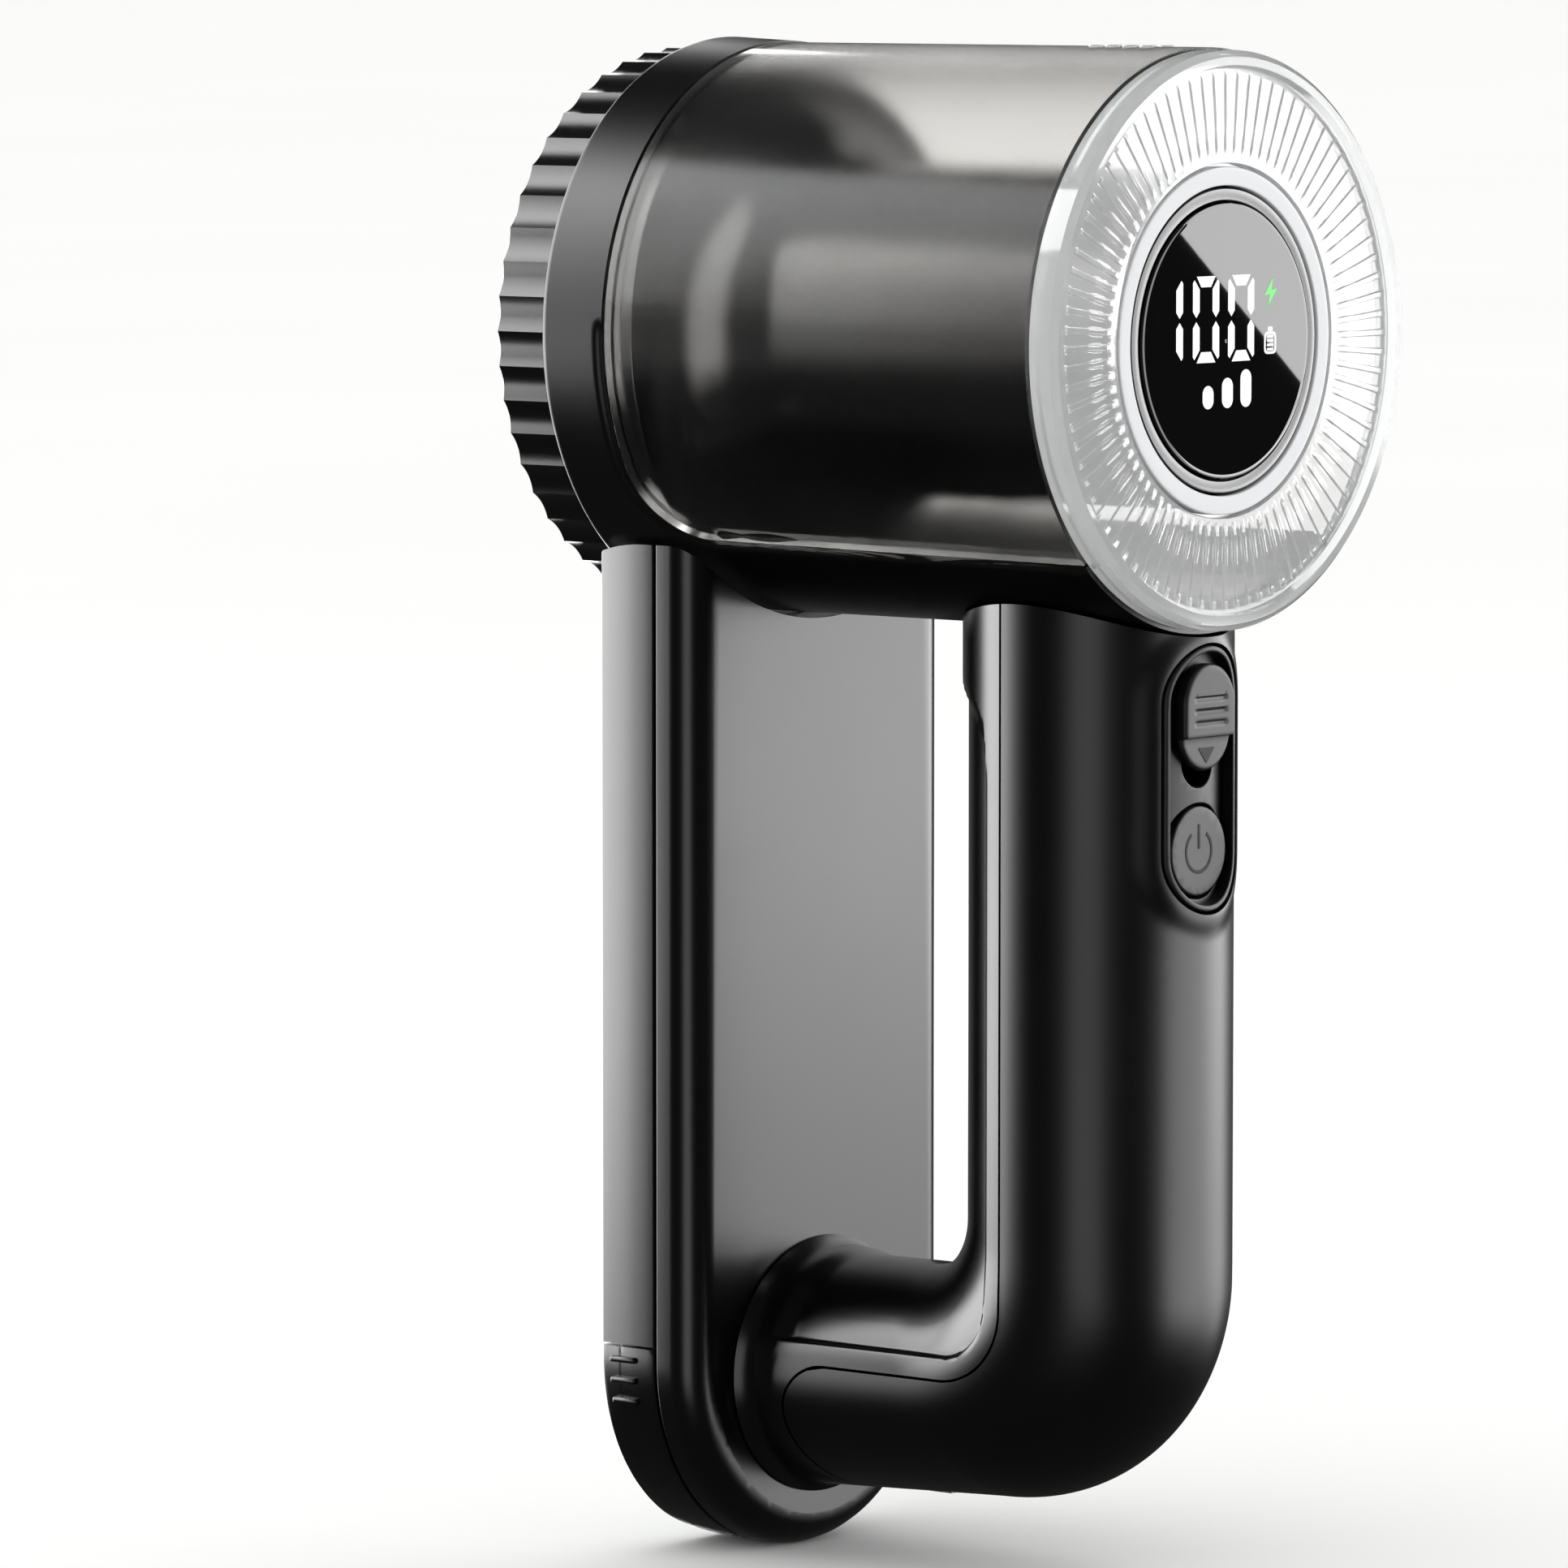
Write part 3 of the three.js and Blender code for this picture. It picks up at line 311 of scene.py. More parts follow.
# Like solidSide, but the corners that lie at the height of a seam stay at it.
def seamedSide(loop, height):
    atSeam = np.abs(loop[:, 1] - height) < 0.2

    def outline(inset):
        moved = inward(loop, inset)
        moved[atSeam, 1] = loop[atSeam, 1]
        return moved
    return outline


def holeSide(loop):
    return lambda inset: inward(loop, -inset)


def insideLoop(points, loop):
    x, y = points[:, :1], points[:, 1:2]
    ax, ay = loop[:, 0], loop[:, 1]
    bx, by = np.roll(ax, -1), np.roll(ay, -1)
    crosses = (ay > y) != (by > y)
    where = ax + (y - ay) * (bx - ax) / np.where(by == ay, 1e-12, by - ay)
    return (np.sum(crosses & (x < where), 1) % 2) == 1


# Triangles of the flat region inside the first loop and outside the others.
def filled(loops, spacing=None):
    coords = [Vector(p) for loop in loops for p in loop]
    edges = []
    start = 0
    for loop in loops:
        edges += [(start + i, start + (i + 1) % len(loop)) for i in range(len(loop))]
        start += len(loop)
    if spacing:
        low, high = loops[0].min(0), loops[0].max(0)
        u, v = np.meshgrid(np.arange(low[0], high[0], spacing), np.arange(low[1], high[1], spacing))
        inner = np.stack([u.ravel(), v.ravel()], 1)
        near = np.min(np.linalg.norm(inner[:, None] - np.concatenate(loops)[None], axis=2), 1)
        inner = inner[insideLoop(inner, loops[0]) & (near > 0.5 * spacing)]
        coords += [Vector(p) for p in inner]
    points, _, faces, *_ = delaunay_2d_cdt(coords, edges, [], 0, 1e-6)
    points = np.array([tuple(p) for p in points])
    faces = np.array([tuple(f) for f in faces])
    centres = points[faces].mean(1)
    keep = insideLoop(centres, loops[0])
    for hole in loops[1:]:
        keep &= ~insideLoop(centres, hole)
    return points, faces[keep]


# A quarter-round edge at each end: rows of (x, inset).
def edgeRows(x0, x1, e0, e1, steps=4):
    turns = np.linspace(0, np.pi / 2, steps)
    rows = [(x0 + e0 - e0 * math.cos(t), e0 - e0 * math.sin(t)) for t in turns]
    rows += [(x1 - e1 + e1 * math.sin(t), e1 - e1 * math.cos(t)) for t in turns]
    return rows


# The paddle's sides lean in towards its front, more and more steeply, and each part of them has
# quarter-round edges.
def crownedRows(x0, x1, e0, e1, spec):
    along = np.concatenate([x0 + e0 * np.array([0, 0.1, 0.35, 1]), np.linspace(x0 + e0, x1 - e1, 7)[1:-1],
                            x1 - e1 * np.array([1, 0.35, 0.1, 0])])
    lean = np.clip(1 - (along - spec["front"]) / (0.8 * (spec["seam"] - spec["front"])), 0, 1) ** 2
    near = [1 - np.clip((along - x0) / e0, 0, 1), 1 - np.clip((x1 - along) / e1, 0, 1)]
    edge = sum(size * (1 - np.sqrt(1 - part ** 2)) for size, part in zip((e0, e1), near))
    return list(zip(along, spec["crown"] * lean + edge))


# A solid along X between outlines drawn in Y and Z. Each outline is a function of how far it is inset.
def prism(outlines, rows, spacing=None, lift=None):
    patches = []
    for outline in outlines:
        rings = [outline(inset) for _, inset in rows]
        grid = np.array([
            np.column_stack([np.full(len(ring) + 1, x), np.vstack([ring, ring[:1]])])
            for (x, _), ring in zip(rows, rings)
        ])
        patches.append(gridPatch(grid))
    for x, inset in (rows[0], rows[-1]):
        points, faces = filled([outline(inset) for outline in outlines], spacing)
        patches.append((np.column_stack([np.full(len(points), x), points]), faces))
    if lift:
        patches = [(lift(v), f) for v, f in patches]
    return patches


def arc(cy, cz, radius, start, end, count):
    angles = np.radians(np.linspace(start, end, count))
    return np.column_stack([cy + radius * np.cos(angles), cz + radius * np.sin(angles)])


def capsuleLoop(half, bottom, top, count=28):
    return np.vstack([arc(0, top - half, half, 0, 180, count), arc(0, bottom + half, half, 180, 360, count)])


def smooth(value, low=0.0, high=1.0):
    t = np.clip((value - low) / (high - low), 0, 1)
    return t * t * (3 - 2 * t)


# ---------------------------------------------------------------- shaving head
guardSpec = {"front": -1, "rear": 7.4, "radius": 34.5, "bore": 31, "mouth": 29.6, "lip": 0.7, "sleeve": 33.2,
             "sleeveEnd": 11.4, "scallops": 50, "depth": 0.5, "perScallop": 12}


# Each scallop is a hollow between two sharp ridges, and its wall rises with the square of the distance
# from its middle.
def buildGuard(spec):
    front, rear, radius = spec["front"], spec["rear"], spec["radius"]
    low = radius - spec["depth"]
    outline = [
        (front + spec["lip"], spec["mouth"], 0), (front, spec["mouth"] + 0.3, 0), (front, low - 1.0, 0),
        (front + 0.35, low - 0.35, 0.2), (front + 0.7, low, 1), (front + 2, low, 1), (rear - 2, low, 1),
        (rear - 0.3, low, 1), (rear, low - 0.3, 0.5), (rear, spec["sleeve"], 0),
        (spec["sleeveEnd"], spec["sleeve"], 0),
        (spec["sleeveEnd"], spec["bore"], 0), (front + spec["lip"], spec["bore"], 0),
    ]
    outline.append(outline[0])
    count = spec["scallops"] * spec["perScallop"]
    angles = np.linspace(0, 2 * np.pi, count + 1)
    phase = (np.arange(count + 1) / spec["perScallop"]) % 1
    ridge = spec["depth"] * (2 * phase - 1) ** 2
    x, base, weight = (np.array(column) for column in zip(*outline))
    r = base + ridge[:, None] * weight
    grid = np.stack([np.broadcast_to(x, r.shape), r * np.cos(angles)[:, None], r * np.sin(angles)[:, None]], 2)
    grid[-1] = grid[0]
    return makePiece("knurledGuard", [gridPatch(grid)], finish["black_trim"], "guard", ["guard_ring"],
                     sharp=28)


buildGuard(guardSpec)

foilSpec = {"front": 0, "rear": 0.3, "radius": 29.3, "holePitch": 1.9, "holeRadius": 0.62, "clear": 2.2}


# Round holes on a triangular lattice, wherever they fit inside the rim.
def buildFoil(spec):
    pitch = spec["holePitch"]
    reach = spec["radius"] - spec["clear"]
    holes = []
    for row in range(-30, 31):
        for column in range(-30, 31):
            y = (column + 0.5 * (row % 2)) * pitch
            z = row * pitch * math.sqrt(3) / 2
            if math.hypot(y, z) < reach:
                holes.append(holeSide(arc(y, z, spec["holeRadius"], 0, 324, 10)))
    rim = solidSide(arc(0, 0, spec["radius"], 0, 358, 180))
    rows = [(spec["front"], 0), (spec["rear"], 0)]
    patches = prism([rim, *holes], rows)
    patches.append(tube(0.2, 0.4, 30.6, 28.6, 0.03))
    return makePiece("perforatedFoil", patches, finish["bright_steel"], "guard", ["foil"])


buildFoil(foilSpec)
makePiece("foilClampRing", [tube(0.75, 3, 30.6, 29, 0.2)], finish["black_inner"], "guard", ["foil_ring"],
          sharp=28)
print("guard and foil ready")

headSpec = {"front": 7.8, "collarRear": 17.3, "frontRadius": 35.9, "radius": 35.5, "rear": 83.1,
            "filletX": 26.0, "filletZ": -16.9, "fillet": 8.7, "seam": -25.6, "seamEnd": -26.5, "wall": 1.9,
            "lipWidth": 1.3, "lipDrop": 0.45,
            "shares": [0, 0.32, 0.43, 0.51, 0.84, 1], "starts": [1, 0.45, 0.27, 0.2, 0.11, 0]}


# Height of the seam between the housing and the bin at x behind the fillet.
def seamHeight(x, spec, offset=0.0):
    slope = (spec["seamEnd"] - spec["seam"]) / (spec["rear"] + 3 - spec["filletX"])
    return spec["seam"] + offset + slope * (x - spec["filletX"])


# The free edge of the housing's skin from the top, down behind the collar, round the fillet, along the seam and
# down the rear end, as x and the distance round the barrel from its lowest line.
def housingEdge(spec, count):
    radius = spec["radius"]
    top = [(spec["collarRear"], z) for z in np.linspace(1, spec["filletZ"], count)]
    turn = np.linspace(0, np.pi / 2, count)
    cx, cz, fillet = spec["filletX"], spec["filletZ"], spec["fillet"]
    bend = [(cx - fillet * math.cos(t), cz - fillet * math.sin(t)) for t in turn]
    xs = np.linspace(spec["filletX"], spec["rear"], 2 * count)
    seam = [(x, seamHeight(x, spec)) for x in xs]
    side = np.array([(x, radius * math.acos(-z / radius)) for x, z in (top[1:-1] + bend + seam[1:])])
    heights = np.linspace(radius * math.pi, side[0][1], 2 * count, endpoint=False)
    over = [(spec["collarRear"], s) for s in heights]
    end = [(spec["rear"], s) for s in np.linspace(side[-1][1], 0, count)[1:]]
    return np.vstack([over, side, end])


# Lines run from the collar's front edge to the free edge. Near the free edge behind the collar the skin
# rolls inwards, so that the seam is lined by a soft lip.
def buildHousing(spec):
    edge = housingEdge(spec, 40)
    lengths = np.concatenate([[0], np.cumsum(np.linalg.norm(np.diff(edge, axis=0), axis=1))])
    half = math.pi * spec["radius"]
    share = lengths / lengths[-1]
    around = np.interp(share, spec["shares"], np.array(spec["starts"]) * half)
    start = np.stack([np.full(len(edge), spec["front"]), around], 1)
    steps = np.concatenate([[0, 0.002, 0.006, 0.012], np.linspace(0.03, 0.9, 26), np.linspace(0.915, 1, 14)])
    points = start[None] + steps[:, None, None] * (edge - start)[None]
    x, s = points[..., 0], points[..., 1]
    flat = points.reshape(-1, 2)
    lipEdge = edge[2 * 40:-40]
    near = np.min(np.linalg.norm(flat[:, None] - lipEdge[None], axis=2), 1).reshape(x.shape)
    r = np.interp(x, [spec["front"], spec["front"] + 0.5, spec["collarRear"]],
                  [spec["frontRadius"] - 0.5, spec["frontRadius"], spec["radius"]])
    r = r - spec["lipDrop"] * (1 - smooth(near, 0, spec["lipWidth"]))
    angle = s / spec["radius"]
    sides = [np.stack([x, sign * r * np.sin(angle), -r * np.cos(angle)], 2) for sign in (-1, 1)]
    skin = makePiece("headHousing", [gridPatch(p) for p in sides], finish["black_shell"], "housing",
                     ["head_housing"], thickness=spec["wall"], bevel=0.14)
    bulkhead = [tube(13.4, 15.2, 33.5, 5.4, 0.3)]
    makePiece("headBulkhead", bulkhead, finish["black_inner"], "housing")
    return skin


buildHousing(headSpec)

binSpec = {"rear": 83, "radius": 35.3, "wall": 2.2, "floorFront": 24, "floorRadius": 33.25,
           "floorWall": 1.6, "rows": 90, "columns": 200}


# Each row runs over the top from one seam to the other, at the height that the housing leaves free.
def buildBin(spec, head):
    clear = head["fillet"] - gap
    turn = np.linspace(0, np.pi / 2, 24)
    bendX = head["filletX"] - clear * np.cos(turn)
    bendZ = head["filletZ"] - clear * np.sin(turn)
    straightX = np.linspace(head["filletX"], spec["rear"], spec["rows"])[1:]
    xs = np.concatenate([bendX, straightX])
    zs = np.concatenate([bendZ, seamHeight(straightX, head, gap)])
    low = np.arcsin(zs / spec["radius"])
    across = np.linspace(0, 1, spec["columns"])
    angles = low[:, None] + (np.pi - 2 * low)[:, None] * across
    x = np.broadcast_to(xs[:, None], angles.shape)
    upper = np.stack([x, spec["radius"] * np.cos(angles), spec["radius"] * np.sin(angles)], 2)
    fx = np.linspace(spec["floorFront"], spec["rear"], 40)
    floorLow = np.pi + 0.86
    floorAngles = np.linspace(floorLow, 3 * np.pi - floorLow, 80)
    floor = np.stack(np.broadcast_arrays(
        fx[:, None], spec["floorRadius"] * np.cos(floorAngles), spec["floorRadius"] * np.sin(floorAngles)), 2)
    makePiece("binUpperShell", [gridPatch(upper)], finish["smoky_clear"], "bin", ["bin_shell"],
              thickness=spec["wall"], bevel=0.2)
    makePiece("binFloor", [gridPatch(floor)], finish["smoky_clear"], "bin",
              thickness=spec["floorWall"], bevel=0.15)


buildBin(binSpec, headSpec)

ventSpec = {"start": 67, "pitch": 2.6, "rowSpacing": 2.2, "columns": 4, "radius": 0.75, "wire": 0.15}


# Each vent has a raised rim, a small ring that lies flat on the top of the bin.
def buildVents(spec, binRadius):
    around, across = np.meshgrid(np.linspace(0, 2 * np.pi, 25), np.linspace(0, 2 * np.pi, 9), indexing="ij")
    reach = spec["radius"] + spec["wire"] * np.cos(across)
    ring = np.stack([reach * np.cos(around), reach * np.sin(around), spec["wire"] * np.sin(across)], 2)
    patches = []
    for row in (0, 1):
        for column in range(spec["columns"]):
            y = (row - 0.5) * spec["rowSpacing"]
            place = (spec["start"] + (column + row / 2) * spec["pitch"], y, math.sqrt(binRadius ** 2 - y ** 2))
            patches.append(gridPatch(ring + place))
    makePiece("binVentRims", patches, finish["clear_plastic"], "bin")


buildVents(ventSpec, binSpec["radius"])

lensSpec = {"front": 83.35, "rear": 87.2, "radius": 35, "rimBore": 33, "bore": 21.4, "webFront": 84, "webRear": 86,
            "ribs": 84, "ribStart": 22.6, "ribEnd": 32.4, "ribHeight": 0.24, "ribHalf": 0.42, "ribSlope": 0.14}


# The rear face of the web carries flat-topped radial ribs that taper out at both ends.
def buildLens(spec):
    outline = [(spec["front"], spec["rimBore"]), (spec["front"], spec["radius"]),
               (spec["rear"] - 0.8, spec["radius"]), (spec["rear"], spec["radius"] - 0.8),
               (spec["rear"], spec["rimBore"] + 0.2), (spec["webRear"] + 0.1, spec["rimBore"])]
    start = len(outline)
    outline += [(spec["webRear"], r) for r in np.linspace(spec["rimBore"] - 0.2, spec["bore"] + 0.1, 26)]
    end = len(outline)
    outline += [(spec["webRear"] - 0.2, spec["bore"]), (spec["webFront"], spec["bore"]),
                (spec["webFront"], spec["rimBore"])]
    outline = np.array(outline + outline[:1])
    within = np.array([-0.5, -0.36, -0.26, -0.2, -0.16, -0.12, -0.06, 0, 0.06, 0.12, 0.16, 0.2, 0.26, 0.36])
    turns = (np.arange(spec["ribs"])[:, None] + within[None]).ravel()
    turns = np.append(turns, turns[0] + spec["ribs"])
    angles = turns * 2 * np.pi / spec["ribs"]
    x = np.broadcast_to(outline[:, 0], (len(angles), len(outline))).copy()
    r = outline[:, 1]
    away = np.abs((turns + 0.5) % 1 - 0.5)[:, None] * 2 * np.pi * r / spec["ribs"]
    tall = 1 - smooth(away, spec["ribHalf"] - spec["ribSlope"], spec["ribHalf"])
    begins = smooth(r, spec["ribStart"], spec["ribStart"] + 0.5)
    ends = begins * (1 - smooth(r, spec["ribEnd"] - 0.4, spec["ribEnd"]))
    x[:, start:end] += (spec["ribHeight"] * tall * ends)[:, start:end]
    grid = np.stack([x, r * np.cos(angles)[:, None], r * np.sin(angles)[:, None]], 2)
    grid[-1] = grid[0]
    return makePiece("flutedLens", [gridPatch(grid)], finish["clear_plastic"], "bin", ["bin_lens"],
                     sharp=32)


buildLens(lensSpec)

cowlSpec = {"front": 17.7, "rear": 83.4, "mouthEnd": 20.6, "mouthRadius": 32.8, "flareEnd": 33, "radius": 20.5,
            "wall": 1.6}


# The trumpet's section is a quarter of an ellipse from the mouth to the motor's tube.
def buildCowl(spec):
    turns = np.linspace(0, np.pi / 2, 28)
    x = spec["flareEnd"] - (spec["flareEnd"] - spec["mouthEnd"]) * np.cos(turns)
    r = spec["mouthRadius"] - (spec["mouthRadius"] - spec["radius"]) * np.sin(turns)
    outside = [(spec["front"], spec["mouthRadius"]), *zip(x, r), (spec["rear"], spec["radius"])]
    inside = [(spec["rear"], spec["radius"] - spec["wall"]), *zip(x[::-1], r[::-1] - spec["wall"]),
              (spec["front"], spec["mouthRadius"] - spec["wall"])]
    return makePiece("motorCowl", [turned(outside + inside, 0.15)], finish["black_inner"], "housing",
                     ["motor_cowl"], sharp=30)


buildCowl(cowlSpec)
print("head, bin and cowl ready")

# ---------------------------------------------------------------- display
displaySpec = {"ring": (83.75, 86, 21, 18.7), "bezel": (84.2, 85.8, 18.4, 16.9), "glass": (84.6, 86.1, 16.65, 0),
               "face": 86.1, "raise": 0.03}
displayPieces = {"ring": "silver_trim", "bezel": "black_inner", "glass": "display_gloss"}
for part, slotName in displayPieces.items():
    x0, x1, radius, bore = displaySpec[part]
    profile = [(x0, bore), (x0, radius), (x1, radius), (x1, radius - 0.6), (x1, bore)]
    makePiece(f"display{part.title()}", [turned(profile, 0.25)], finish[slotName], "housing",
              [f"display_{part}"], sharp=28)

signSpec = {"half": 2.6, "tall": 5.2, "thick": 1.3, "zeroAt": [-4.05, 2.95], "oneAt": -9.3, "height": 2.7,
            "barAt": [-3.6, 0.25, 3.95], "barHalf": 1.07, "barLow": -8.1, "barTop": [-5.3, -4.45, -3.55]}
boltLoop = [(9.3, 7.4), (7.6, 5.3), (8.7, 5.4), (8.3, 3.9), (10.1, 6.0), (9.0, 5.9)]
battery = {"y": (7.6, 10.0), "z": (-1.85, 0.85), "wall": 0.3, "bars": 4}


def boxLoop(y0, y1, z0, z1, corner=0.3):
    return roundedLoop([(y0, z0), (y1, z0), (y1, z1), (y0, z1)], corner, 6)


# One upright segment above the middle, and one level segment at the top; the rest are their mirror images.
def digitSegments(spec):
    w, h, t = spec["half"], spec["tall"], spec["thick"]
    upright = [(w, 0.86 * h), (w - 0.3, 0.92 * h), (w - t, 0.7 * h), (w - t, 0.19 * h),
               (w - t / 2, 0.05 * h), (w, 0.19 * h)]
    level = [(w - 0.75, h), (w - t - 0.35, h - t), (t + 0.35 - w, h - t), (0.75 - w, h)]
    loops = [np.array(upright) * (a, b) for a in (-1, 1) for b in (-1, 1)]
    return loops + [np.array(level) * (1, b) for b in (-1, 1)]


def buildSigns(spec):
    rows = [(displaySpec["face"] - 0.1, 0), (displaySpec["face"] + displaySpec["raise"], 0)]
    loops = [loop + (y, spec["height"]) for y in spec["zeroAt"] for loop in digitSegments(spec)]
    loops += [loop + (spec["oneAt"] - spec["half"] + spec["thick"] / 2, spec["height"])
              for loop in digitSegments(spec)[2:4]]
    loops += [capsuleLoop(spec["barHalf"], spec["barLow"], top) + (y, 0)
              for y, top in zip(spec["barAt"], spec["barTop"])]
    (y0, y1), (z0, z1), wall = battery["y"], battery["z"], battery["wall"]
    loops.append(boxLoop((y0 + y1) / 2 - 0.5, (y0 + y1) / 2 + 0.5, z1 + 0.05, z1 + 0.6, 0.4))
    pitch = (z1 - z0 - 2 * wall) / battery["bars"]
    for i in range(battery["bars"]):
        low = z0 + wall + i * pitch + 0.1
        loops.append(boxLoop(y0 + 2 * wall, y1 - 2 * wall, low, low + pitch - 0.2, 0.05))
    white = [patch for loop in loops for patch in prism([solidSide(loop)], rows)]
    case = [solidSide(boxLoop(y0, y1, z0, z1, 0.7)),
            holeSide(boxLoop(y0 + wall, y1 - wall, z0 + wall, z1 - wall, 0.5))]
    makePiece("displayReadings", white + prism(case, rows), signWhite, "housing")
    makePiece("displayBolt", prism([solidSide(np.array(boltLoop))], rows), signGreen, "housing")


buildSigns(signSpec)
print("display ready")

# ---------------------------------------------------------------- paddle
paddleSpec = {"front": 7.8, "seam": 16.7, "back": 23.2, "half": 25, "capSeam": -126, "centre": -128, "round": 4,
              "head": 36.25, "pocketHalf": 21.9, "pocketCentre": -64.9, "pocketFloor": 14.4, "crown": 0.5}


def headArc(half, radius, count=40):
    y = np.linspace(-half, half, count)
    return np.column_stack([y, -np.sqrt(radius ** 2 - y ** 2)])


def frameOutline(spec):
    half, low = spec["half"], spec["capSeam"]
    pocket, centre = spec["pocketHalf"], spec["pocketCentre"]
    arch = arc(0, centre, pocket, 180, 0, 72)
    sides = [(half, low), (pocket, low), *arch[::-1], (-pocket, low), (-half, low)]
    return np.vstack([headArc(half, spec["head"]), sides])


def buildFrame(spec):
    loop = frameOutline(spec)
    patches = prism([seamedSide(loop, spec["capSeam"])], crownedRows(spec["front"], spec["seam"], 0.35, 0.2, spec))
    inner = spec["pocketHalf"] + 0.6
    low = spec["capSeam"] + 0.1
    floorLoop = np.vstack([arc(0, spec["pocketCentre"], inner, 0, 180, 48), [(-inner, low), (inner, low)]])
    patches += prism([solidSide(floorLoop)], [(spec["pocketFloor"], 0), (spec["seam"] - 0.1, 0)])
    return makePiece("frontFrame", patches, finish["black_trim"], "housing", ["front_frame"],
                     sharp=30)


def shellOutline(spec, inset):
    half = spec["half"] - inset
    top = headArc(half, spec["head"])
    return np.vstack([top, arc(0, spec["centre"], half, 0, -180, 96)])


def buildPaddleShell(spec):
    rows = edgeRows(spec["seam"] + gap, spec["back"], 0.25, spec["round"], 8)
    patches = prism([lambda inset: shellOutline(spec, inset)], rows)
    return makePiece("paddleRearShell", patches, finish["paddle_black"], "housing", ["paddle_rear_shell"],
                     sharp=30)


buildFrame(paddleSpec)
buildPaddleShell(paddleSpec)

brushSpec = {"front": 7.9, "rear": 14.05, "capRear": 16.65, "half": 21.45, "rim": 1.5, "top": -64.9,
             "padFloor": 11, "ridges": 3, "ridgeTop": -127.9, "ridgePitch": 2.6}


def capLoop(half, top, centre):
    angle = math.degrees(math.asin((top - centre) / half))
    return arc(0, centre, half, 180 - angle, 360 + angle, 96)


def padLoop(inset, spec, paddle):
    half = spec["half"] - inset
    wide = paddle["half"] - inset
    capTop = paddle["capSeam"] - gap - inset
    angle = math.degrees(math.asin(max(-1, (capTop - paddle["centre"]) / wide)))
    cap = arc(0, paddle["centre"], wide, 180 - angle, 360 + angle, 96)
    return np.vstack([arc(0, spec["top"], half, 0, 180, 64), [(-half, capTop)], cap, [(half, capTop)]])


def buildBrush(spec, paddle):
    loop = padLoop(0, spec, paddle)
    capTop = paddle["capSeam"] - gap
    patches = prism([seamedSide(loop, capTop), holeSide(padLoop(spec["rim"], spec, paddle))],
                    crownedRows(spec["front"], spec["padFloor"] + 0.2, 0.3, 0.02, paddle))
    stem = np.vstack([arc(0, spec["top"], spec["half"] - 0.02, 0, 180, 64), [(-21.4, -130), (21.4, -130)]])
    patches += prism([solidSide(stem)], [(spec["padFloor"], 0), (spec["rear"], 0)])
    cap = capLoop(paddle["half"], paddle["capSeam"] - gap, paddle["centre"])
    patches += prism([seamedSide(cap, capTop)], crownedRows(spec["padFloor"], spec["capRear"], 0.02, 0.2, paddle))
    for i in range(spec["ridges"]):
        z = spec["ridgeTop"] - i * spec["ridgePitch"]
        reach = math.sqrt(paddle["half"] ** 2 - (z - paddle["centre"]) ** 2)
        for side in (-1, 1):
            ends = sorted((side * (reach - 0.6), side * (reach + 0.5)))
            corners = [(ends[0], z - 0.38), (ends[1], z - 0.38), (ends[1], z + 0.38), (ends[0], z + 0.38)]
            patches += prism([solidSide(roundedLoop(corners, 0.3))], edgeRows(9.8, 13.8, 0.3, 0.3))
    makePiece("brushCarrier", patches, finish["black_trim"], "brush", ["brush_carrier"], sharp=30)


# Cut pile: a fine grid whose tips stand at random heights and lean a little at random.
def buildPile(spec, paddle):
    outline = padLoop(spec["rim"] + gap, spec, paddle)
    low, high = outline.min(0), outline.max(0)
    zs = np.arange(low[1] + 0.02, high[1] - 0.02, 0.28)
    half = []
    for z in zs:
        a, b = outline, np.roll(outline, -1, 0)
        crossing = (a[:, 1] > z) != (b[:, 1] > z)
        begin, to = a[crossing], b[crossing]
        y = begin[:, 0] + (z - begin[:, 1]) * (to[:, 0] - begin[:, 0]) / (to[:, 1] - begin[:, 1])
        half.append(np.max(np.abs(y)) if len(y) else 0.01)
    half = np.array(half)
    across = np.linspace(-1, 1, 150)
    y = half[:, None] * across
    z = np.broadcast_to(zs[:, None], y.shape)
    edge = smooth((1 - np.abs(across))[None] * half[:, None], 0, 0.8)
    tips = 8.15 - 0.4 * edge + 0.3 * rng.random(y.shape)
    lean = 0.1 * (rng.random((2, *y.shape)) - 0.5)
    top = np.stack([tips, y + lean[0], z + lean[1]], 2)
    back = np.stack([np.full(y.shape, spec["padFloor"] - gap), y, z], 2)
    patches = [gridPatch(top), gridPatch(back)]
    patches += [gridPatch(np.stack([top[:, j], back[:, j]], 1)) for j in (0, -1)]
    patches += [gridPatch(np.stack([top[i], back[i]], 1)) for i in (0, -1)]
    pile = makePiece("brushPile", patches, finish["pile_fabric"], "brush", ["brush_pad"], sharp=180)


buildBrush(brushSpec, paddleSpec)
buildPile(brushSpec, paddleSpec)
print("paddle and brush ready")

# ---------------------------------------------------------------- grip
gripSpec = {"centre": 66.8, "half": 16.6, "top": -27, "outerX": 55.4, "outerZ": -115.6, "outerR": 28,
            "innerX": 42.2, "innerZ": -107, "innerR": 8, "armEnd": 23.55, "armDrop": 1.4, "barrel": 35.85,
            "wall": 2.2}
seamSpec = {"x": 64.6, "z": -127.7, "corner": 9.5, "endX": 30.2, "endCorner": 6.5, "lowZ": -148.6, "fold": -2.7}
plateSpec = {"half": 7, "bottom": -69.3, "top": -36.9, "rim": 0.8, "rimRadius": 17.15, "faceRadius": 15.4,
             "pillow": 0.62, "pillowWidth": 3.4}


